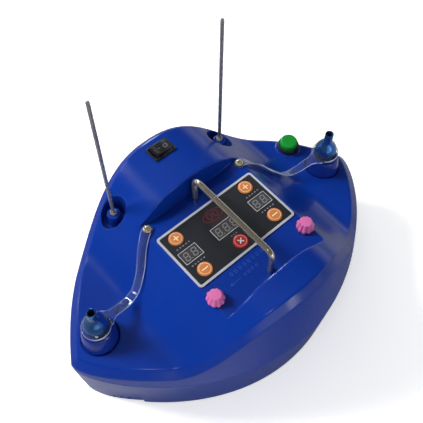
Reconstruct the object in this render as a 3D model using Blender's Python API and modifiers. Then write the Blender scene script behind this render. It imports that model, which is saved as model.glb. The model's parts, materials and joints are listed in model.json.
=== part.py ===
"""Twin-nozzle electric balloon inflator with a timer panel.

Units are metres, +Z up, the operator stands at -Y. The origin is on the ground
under the middle of the housing's bounding box. Every part hangs on one empty,
panel_datum, at the centre of the control panel, and the dimensions below are in
millimetres from that datum: X to the operator's right, Y to the rear, Z up.
"""

from math import cos, hypot, pi, radians, sin

import bmesh
import bpy
from mathutils import Matrix, Vector

# ------------------------------------------------------------ driving sizes, mm
MM = 0.001
ORIGIN = (0, 0, 0)
DATUM_Y, DATUM_Z = -7.0, 120.0      # panel centre above the ground origin
SEAM_Z, FOOT_Z = -56.0, -117.0      # joint line of the two shells, lower edge
WALL = 2.6                          # moulded wall thickness
CLEAR = 0.3                         # gap between neighbouring parts
UPPER_DRAFT, LOWER_DRAFT = 0.12, 0.08
BEVEL_IN, BEVEL_DOWN = 6.4, 7.1     # broad chamfer round the top edge

# Half of the plan outline at the seam as two Beziers of (x, y) control points.
NOSE = ((0.0, -95.5), (95.0, -95.5), (161.3, -3.0), (154.0, 9.3))    # front to wing tip
TAIL = ((154.0, 9.3), (126.5, 55.1), (78.0, 109.5), (0.0, 109.5))    # wing tip to rear
OUTLINE_STEPS = 30
CROWN_TOP, WING_TOP, CROWN_HALF, CROWN_POWER = 20.0, -36.0, 100.0, 1.34
WING_FALL, CROWN_TILT = 0.0036, 0.013
CROWN_REF_Y = 95.0                  # where the tilted crown has its nominal height
STATIONS = 14                       # crown sections on each side

FLOOR_Z = -1.1                      # floor of the panel recess
RECESS_X, RECESS_FRONT, RECESS_REAR = 62.0, -58.3, 45.0
TROUGH_DEPTH = 3.0
TROUGH_FRONT_X, TROUGH_REAR_X = 43.0, 46.0
TROUGH_FRONT_Y, TROUGH_BOW = 36.5, 6.0

KNOB_X, KNOB_Y = 47.2, -40.7
NOZZLE_X, NOZZLE_Y = 124.5, 7.4
ROD_X, ROD_Y, ROD_R = 57.6, 73.4, 1.5
ROD_BORE_R = ROD_R + CLEAR
ROD_WELL_R, ROD_BOSS_R, ROD_BOSS_Z, ROD_FLOOR_Z = 11.0, 5.5, -8.0, -22.0
HANDLE_R, HANDLE_FRONT, HANDLE_REAR = 2.5, -50.2, 38.3
SWITCH_Y, SWITCH_Z = 80.9, 19.8
SWITCH_AT, SWITCH_TILT = (0, SWITCH_Y, SWITCH_Z), (radians(-2.8), 0, 0)
PUSH_X, PUSH_Y, PUSH_Z = 114.0, 41.0, -35.0
PUSH_PAD_R = 11.2
STRAP_X, STRAP_Y = 49.0, 38.9       # screwed eye of each strap
BLOWER_X, BLOWER_Y = 84.0, 8.0
SCREW_BORE_R = 1.9
SCREW_WELL_Z = -78.0
INLET_HALF, INLET_LOW, INLET_HIGH = 13.4, -96.0, -76.0
FLANGE_HALF, FLANGE_LOW, FLANGE_HIGH = 15.0, -97.6, -74.4
POSTS = (("front", 100.0, -38.0), ("rear", 88.0, 66.0))    # end, x, y
FEET = (("front", 116.0, -20.0), ("rear", 64.0, 76.0))     # end, x, y
SIDES = (("left", -1), ("right", 1))

# ------------------------------------------------------------------- scene set-up
for old in list(bpy.data.objects):
    bpy.data.objects.remove(old, do_unlink=True)

PARTS = bpy.data.collections.new("balloon_inflator")
CUTTERS = bpy.data.collections.new("cutters")
for collection in (PARTS, CUTTERS):
    bpy.context.scene.collection.children.link(collection)

DATUM = bpy.data.objects.new("panel_datum", None)
DATUM.location = (0.0, DATUM_Y * MM, DATUM_Z * MM)
PARTS.objects.link(DATUM)


def material(name, colour, roughness, metallic=0.0, alpha=1.0):
    mat = bpy.data.materials.new(name)
    mat.use_nodes = True
    shader = mat.node_tree.nodes["Principled BSDF"].inputs
    shader["Base Color"].default_value = (*colour, 1.0)
    shader["Roughness"].default_value = roughness
    shader["Metallic"].default_value = metallic
    shader["Alpha"].default_value = alpha
    mat.diffuse_color = (*colour, alpha)
    return mat


BLUE = material("blue_abs", colour=(0.01, 0.04, 0.42), roughness=0.25)
BLUE_METAL = material("blue_plated_metal", colour=(0.10, 0.25, 0.60), roughness=0.15, metallic=1.0)
CHARCOAL = material("panel_film", colour=(0.02, 0.02, 0.025), roughness=0.4)
ORANGE = material("orange_key", colour=(0.80, 0.25, 0.04), roughness=0.4)
RED = material("red_key", colour=(0.50, 0.02, 0.02), roughness=0.4)
PINK = material("pink_knob", colour=(0.80, 0.12, 0.42), roughness=0.45)
CHROME = material("chrome", colour=(0.75, 0.73, 0.68), roughness=0.1, metallic=1.0)
STEEL = material("steel", colour=(0.45, 0.45, 0.47), roughness=0.3, metallic=1.0)
GREEN = material("green_cap", colour=(0.01, 0.35, 0.05), roughness=0.35)
BLACK = material("black_nylon", colour=(0.01, 0.01, 0.012), roughness=0.45)
CLEAR_PVC = material("clear_pvc", colour=(0.75, 0.80, 0.90), roughness=0.1, alpha=0.35)
DISPLAY = material("display_face", colour=(0.06, 0.06, 0.065), roughness=0.3)
BOARD = material("circuit_board", colour=(0.02, 0.18, 0.06), roughness=0.5)
RUBBER = material("rubber", colour=(0.02, 0.02, 0.02), roughness=0.8)
WIRE = material("wire", colour=(0.35, 0.03, 0.02), roughness=0.5)


# ------------------------------------------------------------------ mesh helpers
def place(name, mesh, mat=None, at=ORIGIN, rot=ORIGIN):
    """Links a mesh under the datum: a part if it has a material, else a cutter."""
    obj = bpy.data.objects.new(name, mesh)
    obj.parent = DATUM
    obj.location = Vector(at) * MM
    obj.rotation_euler = rot
    if mat is None:
        CUTTERS.objects.link(obj)
        obj.hide_render = True
        obj.display_type = "WIRE"
        return obj
    PARTS.objects.link(obj)
    if mesh.materials:      # a mesh made from a curve may bring a slot with it
        mesh.materials[0] = mat
    else:
        mesh.materials.append(mat)
    return obj


def smooth_shade(mesh, degrees):
    mesh.shade_smooth()
    mesh.set_sharp_from_angle(angle=radians(degrees))


def finish(work, name, mat=None, at=ORIGIN, rot=ORIGIN, smooth=False):
    """Turns a bmesh in millimetres into a placed object."""
    bmesh.ops.scale(work, vec=(MM, MM, MM), verts=work.verts)
    mesh = bpy.data.meshes.new(name)
    work.to_mesh(mesh)
    work.free()
    if smooth:
        smooth_shade(mesh, 35)
    return place(name, mesh, mat, at, rot)


def face_out(work):
    bmesh.ops.recalc_face_normals(work, faces=work.faces)
    if work.calc_volume(signed=True) < 0:
        bmesh.ops.reverse_faces(work, faces=work.faces)


def add_drum(work, radius, low, high, sides, x=0, y=0, top_radius=None):
    bmesh.ops.create_cone(
        work, cap_ends=True, segments=sides, radius1=radius,
        radius2=radius if top_radius is None else top_radius, depth=high - low,
        matrix=Matrix.Translation((x, y, (low + high) / 2)),
    )


def add_block(work, size, centre):
    verts = bmesh.ops.create_cube(work, size=1.0)["verts"]
    bmesh.ops.scale(work, vec=size, verts=verts)
    bmesh.ops.translate(work, vec=centre, verts=verts)
    return verts


def box(name, x, y, z, mat=None, at=ORIGIN, rot=ORIGIN):
    """A block from three (low, high) spans."""
    work = bmesh.new()
    spans = (x, y, z)
    add_block(work, [high - low for low, high in spans], [(low + high) / 2 for low, high in spans])
    return finish(work, name, mat, at, rot)


def about(half):
    """The (low, high) span of a half width about zero."""
    return -half, half


def drum(name, radius, low, high, mat=None, at=ORIGIN, sides=24, top_radius=None):
    work = bmesh.new()
    add_drum(work, radius, low, high, sides, top_radius=top_radius)
    return finish(work, name, mat, at, smooth=True)


def group(name, drums=(), blocks=()):
    """One helper from drums (radius, low, high, sides, x, y) and blocks (size, centre)."""
    work = bmesh.new()
    for row in drums:
        add_drum(work, *row)
    for size, centre in blocks:
        add_block(work, size, centre)
    return finish(work, name)


def both(*drums):
    """Rows for group(), on the right and mirrored to the left."""
    return [(*row[:4], side * row[4], row[5]) for side in (1, -1) for row in drums]


def at_posts(radius, low, high, sides=12):
    """Rows for group(), one at each right-hand screw post."""
    return [(radius, low, high, sides, x, y) for _, x, y in POSTS]


def turned(name, profile, mat, at=ORIGIN, steps=24, closed=False):
    """A profile of (radius, height) spun about Z; it runs down the outer side."""
    mesh = bpy.data.meshes.new(name)
    last = len(profile) - 1
    edges = [(i, i + 1) for i in range(last)] + ([(last, 0)] if closed else [])
    mesh.from_pydata([(radius * MM, 0.0, z * MM) for radius, z in profile], edges, [])
    obj = place(name, mesh, mat, at)
    spin = obj.modifiers.new("spin", "SCREW")
    spin.axis, spin.angle, spin.screw_offset = "Z", 2 * pi, 0.0
    spin.steps = spin.render_steps = steps
    spin.use_merge_vertices, spin.merge_threshold = True, 0.00001
    spin.use_smooth_shade = True
    return obj


def boolean(obj, tool, operation, use_self=False):
    mod = obj.modifiers.new(operation.lower(), "BOOLEAN")
    mod.operation, mod.solver, mod.object, mod.use_self = operation, "EXACT", tool, use_self


def cut(obj, tool):
    boolean(obj, tool, "DIFFERENCE")


def join(obj, tool):
    boolean(obj, tool, "UNION")


def slab(name, points, low, high, mat=None):
    """A flat outline of (x, y) points made thick."""
    work = bmesh.new()
    face = work.faces.new([work.verts.new((x, y, low)) for x, y in points])
    top = bmesh.ops.extrude_face_region(work, geom=[face])["geom"]
    top_verts = [item for item in top if isinstance(item, bmesh.types.BMVert)]
    bmesh.ops.translate(work, vec=(0, 0, high - low), verts=top_verts)
    face_out(work)
    return finish(work, name, mat)


def rounded(width, depth, radius, steps=4):
    """Outline points of a rounded rectangle."""
    points = []
    for quarter, (sx, sy) in enumerate(((1, 1), (-1, 1), (-1, -1), (1, -1))):
        for i in range(steps + 1):
            angle = (quarter + i / steps) * pi / 2
            points.append((sx * (width / 2 - radius) + radius * cos(angle),
                           sy * (depth / 2 - radius) + radius * sin(angle)))
    return points


def loft(rings):
    """Closed solid through rings of equal length, capped at both ends, as a bmesh."""
    work = bmesh.new()
    rows = [[work.verts.new(point) for point in ring] for ring in rings]
    count = len(rows[0])
    for row, above in zip(rows, rows[1:]):
        for i in range(count):
            j = (i + 1) % count
            work.faces.new((row[i], row[j], above[j], above[i]))
    work.faces.new(list(reversed(rows[0])))
    work.faces.new(rows[-1])
    face_out(work)
    return work


def wire(name, path, radius, mat, bevel, at=ORIGIN):
    """A round bar along a point list, as a mesh with welded caps."""
    curve = bpy.data.curves.new(name, "CURVE")
    curve.dimensions = "3D"
    curve.bevel_depth, curve.bevel_resolution, curve.use_fill_caps = radius * MM, bevel, True
    spline = curve.splines.new("POLY")
    spline.points.add(len(path) - 1)
    for point, (x, y, z) in zip(spline.points, path):
        point.co = (x * MM, y * MM, z * MM, 1.0)
    bar = bpy.data.objects.new(name + "_path", curve)
    CUTTERS.objects.link(bar)
    bpy.context.view_layer.update()
    depsgraph = bpy.context.evaluated_depsgraph_get()
    mesh = bpy.data.meshes.new_from_object(bar.evaluated_get(depsgraph))
    bpy.data.objects.remove(bar, do_unlink=True)
    work = bmesh.new()
    work.from_mesh(mesh)
    bmesh.ops.remove_doubles(work, verts=work.verts, dist=0.000002)
    face_out(work)
    work.to_mesh(mesh)
    work.free()
    mesh.name = name
    smooth_shade(mesh, 40)
    return place(name, mesh, mat, at)


def bend(start, corner, end, radius, steps=5):
    """Points of a rounded right-angled corner between the legs to start and to end."""
    start, corner, end = Vector(start), Vector(corner), Vector(end)
    back, ahead = (start - corner).normalized(), (end - corner).normalized()
    centre = corner + (back + ahead) * radius
    angles = [i / steps * pi / 2 for i in range(steps + 1)]
    return [tuple(centre - (ahead * cos(t) + back * sin(t)) * radius) for t in angles]


# ------------------------------------------------------------------ housing shape
# A station is a place on the half outline: 0 at the nose, 0.5 at the wing tip, 1 at the tail.
def crown(x, y=CROWN_REF_Y):
    """Height of the ruled top surface: a broad hump that runs out flat into the wings."""
    x = abs(x)
    if x >= CROWN_HALF:
        return WING_TOP - WING_FALL * (x - CROWN_HALF) ** 2
    hump = (1 + cos(pi * (x / CROWN_HALF) ** CROWN_POWER)) / 2
    return WING_TOP + (CROWN_TOP - WING_TOP) * hump + CROWN_TILT * (y - CROWN_REF_Y) * hump


def bezier(points, t):
    """Position x, y and slope dx, dy on a cubic."""
    s = 1 - t
    weights = (s ** 3, 3 * s * s * t, 3 * s * t * t, t ** 3)
    slopes = (-3 * s * s, 3 * s * s - 6 * s * t, 6 * s * t - 3 * t * t, 3 * t * t)
    return tuple(sum(factor * point[axis] for factor, point in zip(factors, points))
                 for factors in (weights, slopes) for axis in (0, 1))


def outline(station, inset=0.0):
    """Point of the half seam outline, moved inward by inset."""
    if station <= 0.5:
        x, y, dx, dy = bezier(NOSE, 2 * station)
    else:
        x, y, dx, dy = bezier(TAIL, 2 * station - 1)
    length = hypot(dx, dy)
    return x - inset * dy / length, y + inset * dx / length


def crest(station, inset=0.0, drop=0.0):
    """Top edge and lower edge of the chamfer band at one station."""
    z = -10.0
    for _ in range(12):     # the wall leans, so height and place settle together
        lean = UPPER_DRAFT * (z - BEVEL_DOWN - SEAM_Z)
        x, y = outline(station, inset + lean + BEVEL_IN)
        z = crown(x, y)
    low_x, low_y = outline(station, inset + lean)
    return (x, y, z - drop), (low_x, low_y, z - drop - BEVEL_DOWN)


def crest_stations():
    """Pairs of stations, nose side and tail side, whose crest points share one x."""
    tip = max(range(1001), key=lambda i: crest(i / 1000)[0][0]) / 1000
    reach = crest(tip)[0][0]
    pairs = []
    for i in range(STATIONS):
        wanted = reach * sin(pi / 2 * i / STATIONS)
        pair = []
        for near, far in ((0.0, tip), (1.0, tip)):
            for _ in range(40):
                middle = (near + far) / 2
                if crest(middle)[0][0] < wanted:
                    near = middle
                else:
                    far = middle
            pair.append(near)
        pairs.append(pair)
    return pairs, tip


PAIRS, TIP = crest_stations()


def full_ring(stations):
    """(station, side) round the whole housing: up the right side, back down the left."""
    return [(s, 1) for s in stations] + [(s, -1) for s in reversed(stations[1:-1])]


def crown_solid(name, inset, drop, low, mat=None):
    """The upper housing as a solid: crown, chamfer band, walls and a flat underside."""
    stations = [pair[0] for pair in PAIRS] + [TIP] + [pair[1] for pair in reversed(PAIRS)]
    lean = UPPER_DRAFT * (low - SEAM_Z)
    work = bmesh.new()
    rows = []
    for station, side in full_ring(stations):
        top, shoulder = crest(station, inset, drop)
        foot = (*outline(station, inset + lean), low)
        if station in (stations[0], stations[-1]):
            side = 0.0      # nose and tail lie exactly on the centre plane
        rows.append([work.verts.new((side * x, y, z)) for x, y, z in (top, shoulder, foot)])
    for row, ahead in zip(rows, rows[1:] + rows[:1]):
        work.faces.new((row[1], ahead[1], ahead[0], row[0]))
        work.faces.new((row[2], ahead[2], ahead[1], row[1]))
    work.faces.new([row[2] for row in reversed(rows)])
    # the crown is ruled front to rear, narrowing to a triangle at each wing tip
    tops = [row[0] for row in rows]
    last = len(stations) - 1
    for line in (tops[: last + 1], [tops[0]] + list(reversed(tops[last:]))):
        for i in range(last // 2):
            j = last - i
            if i + 1 == j - 1:
                work.faces.new((line[i], line[i + 1], line[j]))
            else:
                work.faces.new((line[i], line[i + 1], line[j - 1], line[j]))
    face_out(work)
    return finish(work, name, mat)


def prism(name, inset_low, inset_high, low, high, mat=None):
    """A solid with the housing's outline, drafted from one inset to another."""
    ring = full_ring([i / OUTLINE_STEPS for i in range(OUTLINE_STEPS + 1)])

    def level(inset, z):
        points = []
        for station, side in ring:
            x, y = outline(station, inset)
            points.append((0.0 if station in (0.0, 1.0) else side * x, y, z))
        return points

    return finish(loft([level(inset_low, low), level(inset_high, high)]), name, mat)


def band(name, start, end, side, outer, inner, low, high, steps, slope=0.0):
    """A block along the drafted lower wall between two stations; slope leans its far end."""
    rings = []
    for i in range(steps + 1):
        below = start + (end - start) * i / steps
        above = start + (end - slope - start) * i / steps
        points = []
        for inset, z, station in ((outer, low, below), (inner, low, below),
                                  (inner, high, above), (outer, high, above)):
            x, y = outline(station, inset + LOWER_DRAFT * (SEAM_Z - z))
            points.append((side * x, y, z))
        rings.append(points)
    return finish(loft(rings), name)


def even_x(half):
    return [half * (i / 6 - 1) for i in range(13)]


def recess(name, grow, floor):
    """The panel recess, between a straight rear wall and a straight front wall."""
    front = [(x, RECESS_FRONT - grow) for x in even_x(RECESS_X)]
    rear = RECESS_REAR + grow
    return slab(name, front + [(RECESS_X, rear), (-RECESS_X, rear)], floor, 60.0)


def trough(name, grow, floor):
    """Shallow gutter with a bowed front edge, at the foot of the rear wall."""
    front = [(x, TROUGH_FRONT_Y - TROUGH_BOW * (x / TROUGH_FRONT_X) ** 2 - grow)
             for x in even_x(TROUGH_FRONT_X)]
    half, rear = TROUGH_REAR_X + grow, RECESS_REAR + grow
    return slab(name, front + [(half, rear), (-half, rear)], floor, 10.0)


# ------------------------------------------------------------------ upper shell
ROOF_DROP = 3.0                     # the hollow's roof below the crown
WINDOW_X, WINDOW_Y = 91.0, 49.8     # opening in the recess floor under the panel
SEAT_R, SEAT_Z = 15.6, -42.6        # nozzle seat
KEEP_SEAT_R = 18.0


def shell_hollow():
    """The upper shell's inside, less the material kept round its features."""
    hollow = crown_solid("cut_hollow", WALL, ROOF_DROP, SEAM_Z - 4.0)
    cut(hollow, recess("keep_recess", WALL, FLOOR_Z - WALL))
    cut(hollow, trough("keep_trough", WALL, FLOOR_Z - WALL - TROUGH_DEPTH))
    # radius, low, high, sides, x, y
    bosses = both(
        *at_posts(4.2, -80, 40),
        (ROD_WELL_R + WALL, ROD_FLOOR_Z - WALL, 40, 24, ROD_X, ROD_Y),
        (KEEP_SEAT_R, SEAT_Z - 3.0, 0, 24, NOZZLE_X, NOZZLE_Y),
    )
    bosses.append((11.5, PUSH_Z - 5.5, 0, 24, PUSH_X, PUSH_Y))
    bosses += both((3.6, -11, 2, 12, STRAP_X, STRAP_Y))
    cut(hollow, group("keep_bosses", bosses))
    return hollow


def well_cutter():
    """Wells, seats and holes from above."""
    return group("cut_wells", both(
        (ROD_WELL_R, ROD_FLOOR_Z, 60, 24, ROD_X, ROD_Y),
        (SEAT_R, SEAT_Z, 40, 24, NOZZLE_X, NOZZLE_Y),
        (3.9, FLOOR_Z - 10, 5, 16, KNOB_X, KNOB_Y),
    ) + [(PUSH_PAD_R, PUSH_Z, 40, 24, PUSH_X, PUSH_Y)])


def hole_cutter():
    """Holes for the rods, nozzles, strap screws, case screws, handle and push button."""
    holes = both(
        (ROD_BORE_R, -40, 20, 12, ROD_X, ROD_Y),
        (11.2, -60, -35, 24, NOZZLE_X, NOZZLE_Y),
        (SCREW_BORE_R, -9.5, 8, 10, STRAP_X, STRAP_Y),
        *at_posts(SCREW_BORE_R, -90, SEAM_Z + 14, 10),
    )
    holes += [(HANDLE_R + 0.35, -12, 12, 12, 0, y) for y in (HANDLE_FRONT, HANDLE_REAR)]
    holes.append((8.1, -60, -20, 24, PUSH_X, PUSH_Y))
    return group("cut_holes", holes)


def upper_shell():
    upper = crown_solid("upper_shell", 0.0, 0.0, SEAM_Z + CLEAR / 2, BLUE)
    cut(upper, recess("cut_recess", 0.0, FLOOR_Z))
    cut(upper, trough("cut_trough", 0.0, FLOOR_Z - TROUGH_DEPTH))
    cut(upper, shell_hollow())
    join(upper, drum("add_green_pad", PUSH_PAD_R, PUSH_Z - 4.5, PUSH_Z, at=(PUSH_X, PUSH_Y, 0)))
    cut(upper, well_cutter())
    # the rod bosses stand in their wells
    join(upper, group("add_rod_bosses", both(
        (ROD_BOSS_R, ROD_FLOOR_Z - 1, ROD_BOSS_Z, 20, ROD_X, ROD_Y))))
    cut(upper, hole_cutter())
    cut(upper, slab("cut_window", rounded(WINDOW_X, WINDOW_Y, 2.0, steps=2), -8, 4))
    cut(upper, box("cut_switch", about(9.8), about(6.8), about(12),
                   at=(0, SWITCH_Y, SWITCH_Z - 4), rot=SWITCH_TILT))
    cut(upper, box("cut_switch_seat", about(10.9), about(7.9), (-0.8, 9),
                   at=SWITCH_AT, rot=SWITCH_TILT))


# ------------------------------------------------------------------ lower shell
TONGUE_INSET, TONGUE_WALL = 4.1, 1.2    # rim that stands up inside the upper shell
INTAKE_SLOT, INTAKE_PITCH, INTAKE_COUNT = (3.0, 26.0, 12.0), 6, 5
INLET_SEAT_GAP = 0.4
# stepped panel on the left wing's front wall, stations on the outline
VENT_START, VENT_END, VENT_TOP, VENT_LEAN = 0.364, 0.280, -84.0, -0.0045
VENT_SLOT_START, VENT_SLOT_PITCH, VENT_SLOT_WIDTH, VENT_SLOT_TOP = 0.356, 0.019, 0.007, -109.0


def cavity():
    """The lower shell's inside, open upward through the tongue, less the screw posts."""
    inside = prism("cut_cavity", WALL + LOWER_DRAFT * (SEAM_Z - FOOT_Z - WALL), WALL + 0.4,
                   FOOT_Z + WALL, SEAM_Z - 4.0)
    mouth = TONGUE_INSET + TONGUE_WALL
    join(inside, prism("add_mouth", mouth, mouth, SEAM_Z - 6.0, SEAM_Z + 6.0))
    cut(inside, group("keep_posts", both(*at_posts(5.0, FOOT_Z - 5, SEAM_Z - 0.2))))
    return inside


def lower_shell():
    lower = prism("lower_shell", LOWER_DRAFT * (SEAM_Z - FOOT_Z), 0.0,
                  FOOT_Z, SEAM_Z - CLEAR / 2, BLUE)
    join(lower, prism("add_tongue", TONGUE_INSET, TONGUE_INSET, SEAM_Z - 5.0, SEAM_Z + 3.0))
    cut(lower, cavity())
    for name, radius, top in (("cut_screw_ways", SCREW_BORE_R, SEAM_Z + 5),
                              ("cut_screw_wells", 3.7, SCREW_WELL_Z)):
        cut(lower, group(name, both(*at_posts(radius, FOOT_Z - 5, top))))
    cut(lower, box("cut_inlet", about(INLET_HALF + 0.4), (90, 120),
                   (INLET_LOW - CLEAR, INLET_HIGH + CLEAR)))
    cut(lower, box("cut_inlet_seat", about(FLANGE_HALF + INLET_SEAT_GAP), (106.0, 120),
                   (FLANGE_LOW - INLET_SEAT_GAP, FLANGE_HIGH + INLET_SEAT_GAP)))
    # air intake slots under the blowers
    first = BLOWER_X - INTAKE_PITCH * (INTAKE_COUNT - 1) / 2
    slots = [(INTAKE_SLOT, (side * (first + INTAKE_PITCH * i), BLOWER_Y, FOOT_Z))
             for side in (1, -1) for i in range(INTAKE_COUNT)]
    boolean(lower, group("cut_intake", blocks=slots), "DIFFERENCE", use_self=True)
    # the vent step, with slots along its foot
    cut(lower, band("cut_vent_step", VENT_START, VENT_END, -1, -3.0, 1.0,
                    FOOT_Z - 3, VENT_TOP, steps=10, slope=VENT_LEAN))
    for i in range(3):
        start = VENT_SLOT_START - VENT_SLOT_PITCH * i
        cut(lower, band("cut_vent_%d" % i, start, start - VENT_SLOT_WIDTH, -1, -4.0, 8.0,
                        FOOT_Z + WALL + 0.4, VENT_SLOT_TOP, steps=1))


# ------------------------------------------------------------------ feet and screws
FOOT_R, FOOT_TOP_R = 7.0, 8.0
CASE_SCREW = [  # radius, height
    (0, SEAM_Z + 12), (1.5, SEAM_Z + 11), (1.5, -78.4), (3.3, -78.4),
    (3.3, -80.4), (2.6, -81.0), (0, -81.0),
]


def feet_and_case_screws(word, side):
    for end, x, y in FEET:
        drum("foot_%s_%s" % (end, word), FOOT_R, -DATUM_Z, FOOT_Z - CLEAR, RUBBER,
             (side * x, y, 0), 20, FOOT_TOP_R)
    for end, x, y in POSTS:
        turned("case_screw_%s_%s" % (end, word), CASE_SCREW, STEEL, (side * x, y, 0), 12)


# ------------------------------------------------------------------ control panel
PANEL_X, PANEL_Y, PANEL_T, PANEL_R = 100.3, 54.8, 0.8, 3.0
BOARD_TOP, BOARD_T = -10.0, 1.6
DISPLAY_X, DISPLAY_Y = 36.7, 0.2
DISPLAYS = (  # name, x, width, depth
    ("display_left", -DISPLAY_X, 16.5, 10.9),
    ("display_centre", 0.0, 24.0, 10.9),
    ("display_right", DISPLAY_X, 16.5, 10.9),
)
BUTTON_R = 6.3
BUTTON_X, PLUS_Y, MINUS_Y = 36.9, 18.0, -16.8
KEYS = (  # name, x, y, material
    ("button_plus_left", -BUTTON_X, PLUS_Y, ORANGE),
    ("button_plus_right", BUTTON_X, PLUS_Y, ORANGE),
    ("button_minus_left", -BUTTON_X, MINUS_Y, ORANGE),
    ("button_minus_right", BUTTON_X, MINUS_Y, ORANGE),
    ("button_zero", 0.0, MINUS_Y, RED),
)
KEY = [  # radius, height
    (0, 0.8), (4.6, 0.7), (5.9, 0.35), (6.2, -0.1), (6.2, -3.4), (2.0, -3.4), (2.0, -6.4), (0, -6.4),
]
TACT_SIZE, TACT_Z = (6.0, 6.0, 3.4), -9.0


def panel_overlay():
    overlay = slab("panel_overlay", rounded(PANEL_X, PANEL_Y, PANEL_R), -PANEL_T, 0.0, CHARCOAL)
    hole = (BUTTON_R + CLEAR, -6, 6, 16)
    holes = both((*hole, BUTTON_X, PLUS_Y), (*hole, BUTTON_X, MINUS_Y)) + [(*hole, 0, MINUS_Y)]
    windows = [((width, depth, 8.0), (x, DISPLAY_Y, 0.0)) for _, x, width, depth in DISPLAYS]
    cut(overlay, group("cut_panel", holes, windows))


def control_board():
    """The board with its displays, keys and the switches under the keys."""
    board = slab("control_board", rounded(97.0, 50.0, 1.0, steps=1),
                 BOARD_TOP - BOARD_T, BOARD_TOP, BOARD)
    for name, x, width, depth in DISPLAYS:
        box(name, about(width / 2 - CLEAR), about(depth / 2 - CLEAR), (BOARD_TOP + CLEAR, -0.35),
            DISPLAY, at=(x, DISPLAY_Y, 0))
    for name, x, y, mat in KEYS:
        turned(name, KEY, mat, (x, y, 0), 16)
    tacts = [(TACT_SIZE, (x, y, TACT_Z)) for _, x, y, _ in KEYS]
    join(board, group("add_tact_switches", blocks=tacts))


# ------------------------------------------------------------------ knobs and pots
KNOB_LOBES, POINTS_PER_LOBE = 10, 4
KNOB_LEVELS = (  # height, mean radius, lobe height
    (-0.7, 6.75, 0.40), (4.6, 6.45, 0.45), (7.4, 5.75, 0.25), (8.5, 4.9, 0.0),
)
POT = [  # radius, height
    (0, -4.7), (2.3, -4.7), (2.3, -1.1), (3.5, -1.1), (3.5, -6.4), (5.8, -6.4), (5.8, -14.0), (0, -14.0),
]


def knob_and_pot(word, side):
    spot = (side * KNOB_X, KNOB_Y, 0)
    count = POINTS_PER_LOBE * KNOB_LOBES
    rings = []
    for z, mean, lobe in KNOB_LEVELS:
        ring = []
        for i in range(count):
            angle = 2 * pi * i / count
            radius = mean + lobe * cos(KNOB_LOBES * angle)
            ring.append((radius * cos(angle), radius * sin(angle), z))
        rings.append(ring)
    knob = finish(loft(rings), "knob_" + word, PINK, spot)
    join(knob, drum("add_stem_" + word, 2.0, -4.0, 3.0, at=spot, sides=16))
    turned("pot_" + word, POT, STEEL, spot, 16)


# ------------------------------------------------------------------ handle and rods
HANDLE_TOP, HANDLE_FOOT, HANDLE_BEND = 24.8, -9.0, 7.0
ROD_TIP, ROD_FOOT = 129.0, -32.0
ROD = [  # radius, height
    (0, ROD_TIP), (1.1, ROD_TIP - 0.3), (ROD_R, ROD_TIP - 1.2), (ROD_R, ROD_FOOT), (0, ROD_FOOT),
]


def carry_handle():
    front_top, rear_top = (0, HANDLE_FRONT, HANDLE_TOP), (0, HANDLE_REAR, HANDLE_TOP)
    middle = (0, 0, HANDLE_TOP)
    path = [(0, HANDLE_FRONT, HANDLE_FOOT)]
    path += bend((0, HANDLE_FRONT, 0), front_top, middle, HANDLE_BEND)
    path += bend(middle, rear_top, (0, HANDLE_REAR, 0), HANDLE_BEND)
    path.append((0, HANDLE_REAR, HANDLE_FOOT))
    wire("carry_handle", path, HANDLE_R, CHROME, bevel=3)


def rod(word, side):
    spot = (side * ROD_X, ROD_Y, 0)
    turned("rod_" + word, ROD, STEEL, spot, 12)
    ferrule = drum("rod_ferrule_" + word, 2.9, ROD_BOSS_Z + CLEAR, ROD_BOSS_Z + 2.9,
                   CHROME, spot, sides=6)
    cut(ferrule, drum("bore_ferrule_" + word, ROD_BORE_R, -12, 0, at=spot, sides=12))


# ------------------------------------------------------------------ rocker switch
ROCKER_TURN, ROCKER_HALF_Y = radians(12.0), 5.5
ROCKER_VIEW = (  # x, z seen from the front; the top is a shallow V
    (-7.9, 4.0), (0.0, 2.6), (7.9, 4.0), (7.5, -1.6), (3.0, -4.6), (-3.0, -4.6), (-7.5, -1.6),
)


def rocker_switch():
    pose = {"at": SWITCH_AT, "rot": SWITCH_TILT}
    housing = box("rocker_housing", about(10.5), about(7.5), (-0.4, 1.5), BLACK, **pose)
    join(housing, box("add_switch_body", about(9.4), about(6.4), (-13.0, 0.6), **pose))
    cut(housing, box("cut_switch_well", about(8.8), about(5.9), (-10.5, 6.0), **pose))
    # at rest the paddle's left end stands up
    across, up = cos(ROCKER_TURN), sin(ROCKER_TURN)
    view = [(x * across + z * up, -x * up + z * across) for x, z in ROCKER_VIEW]
    rings = [[(x, y, z) for x, z in view] for y in about(ROCKER_HALF_Y)]
    finish(loft(rings), "rocker", BLACK, **pose)


# ------------------------------------------------------------------ push button
PUSH_BEZEL = [  # radius, height
    (8.3, 4.6), (9.0, 4.6), (9.8, 3.6), (9.8, 0.3), (7.7, 0.3),
    (7.7, -12.0), (6.2, -12.0), (6.2, 0.9), (8.3, 0.9),
]
PUSH_CAP = [  # radius, height
    (0, 9.4), (6.6, 9.4), (7.6, 8.9), (7.95, 8.0), (7.95, 4.4), (5.8, 4.4), (5.8, -6.0), (0, -6.0),
]


def push_button():
    spot = (PUSH_X, PUSH_Y, PUSH_Z)
    turned("push_button_bezel", PUSH_BEZEL, BLACK, spot, 20, closed=True)
    turned("push_button_cap", PUSH_CAP, GREEN, spot, 20)


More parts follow.
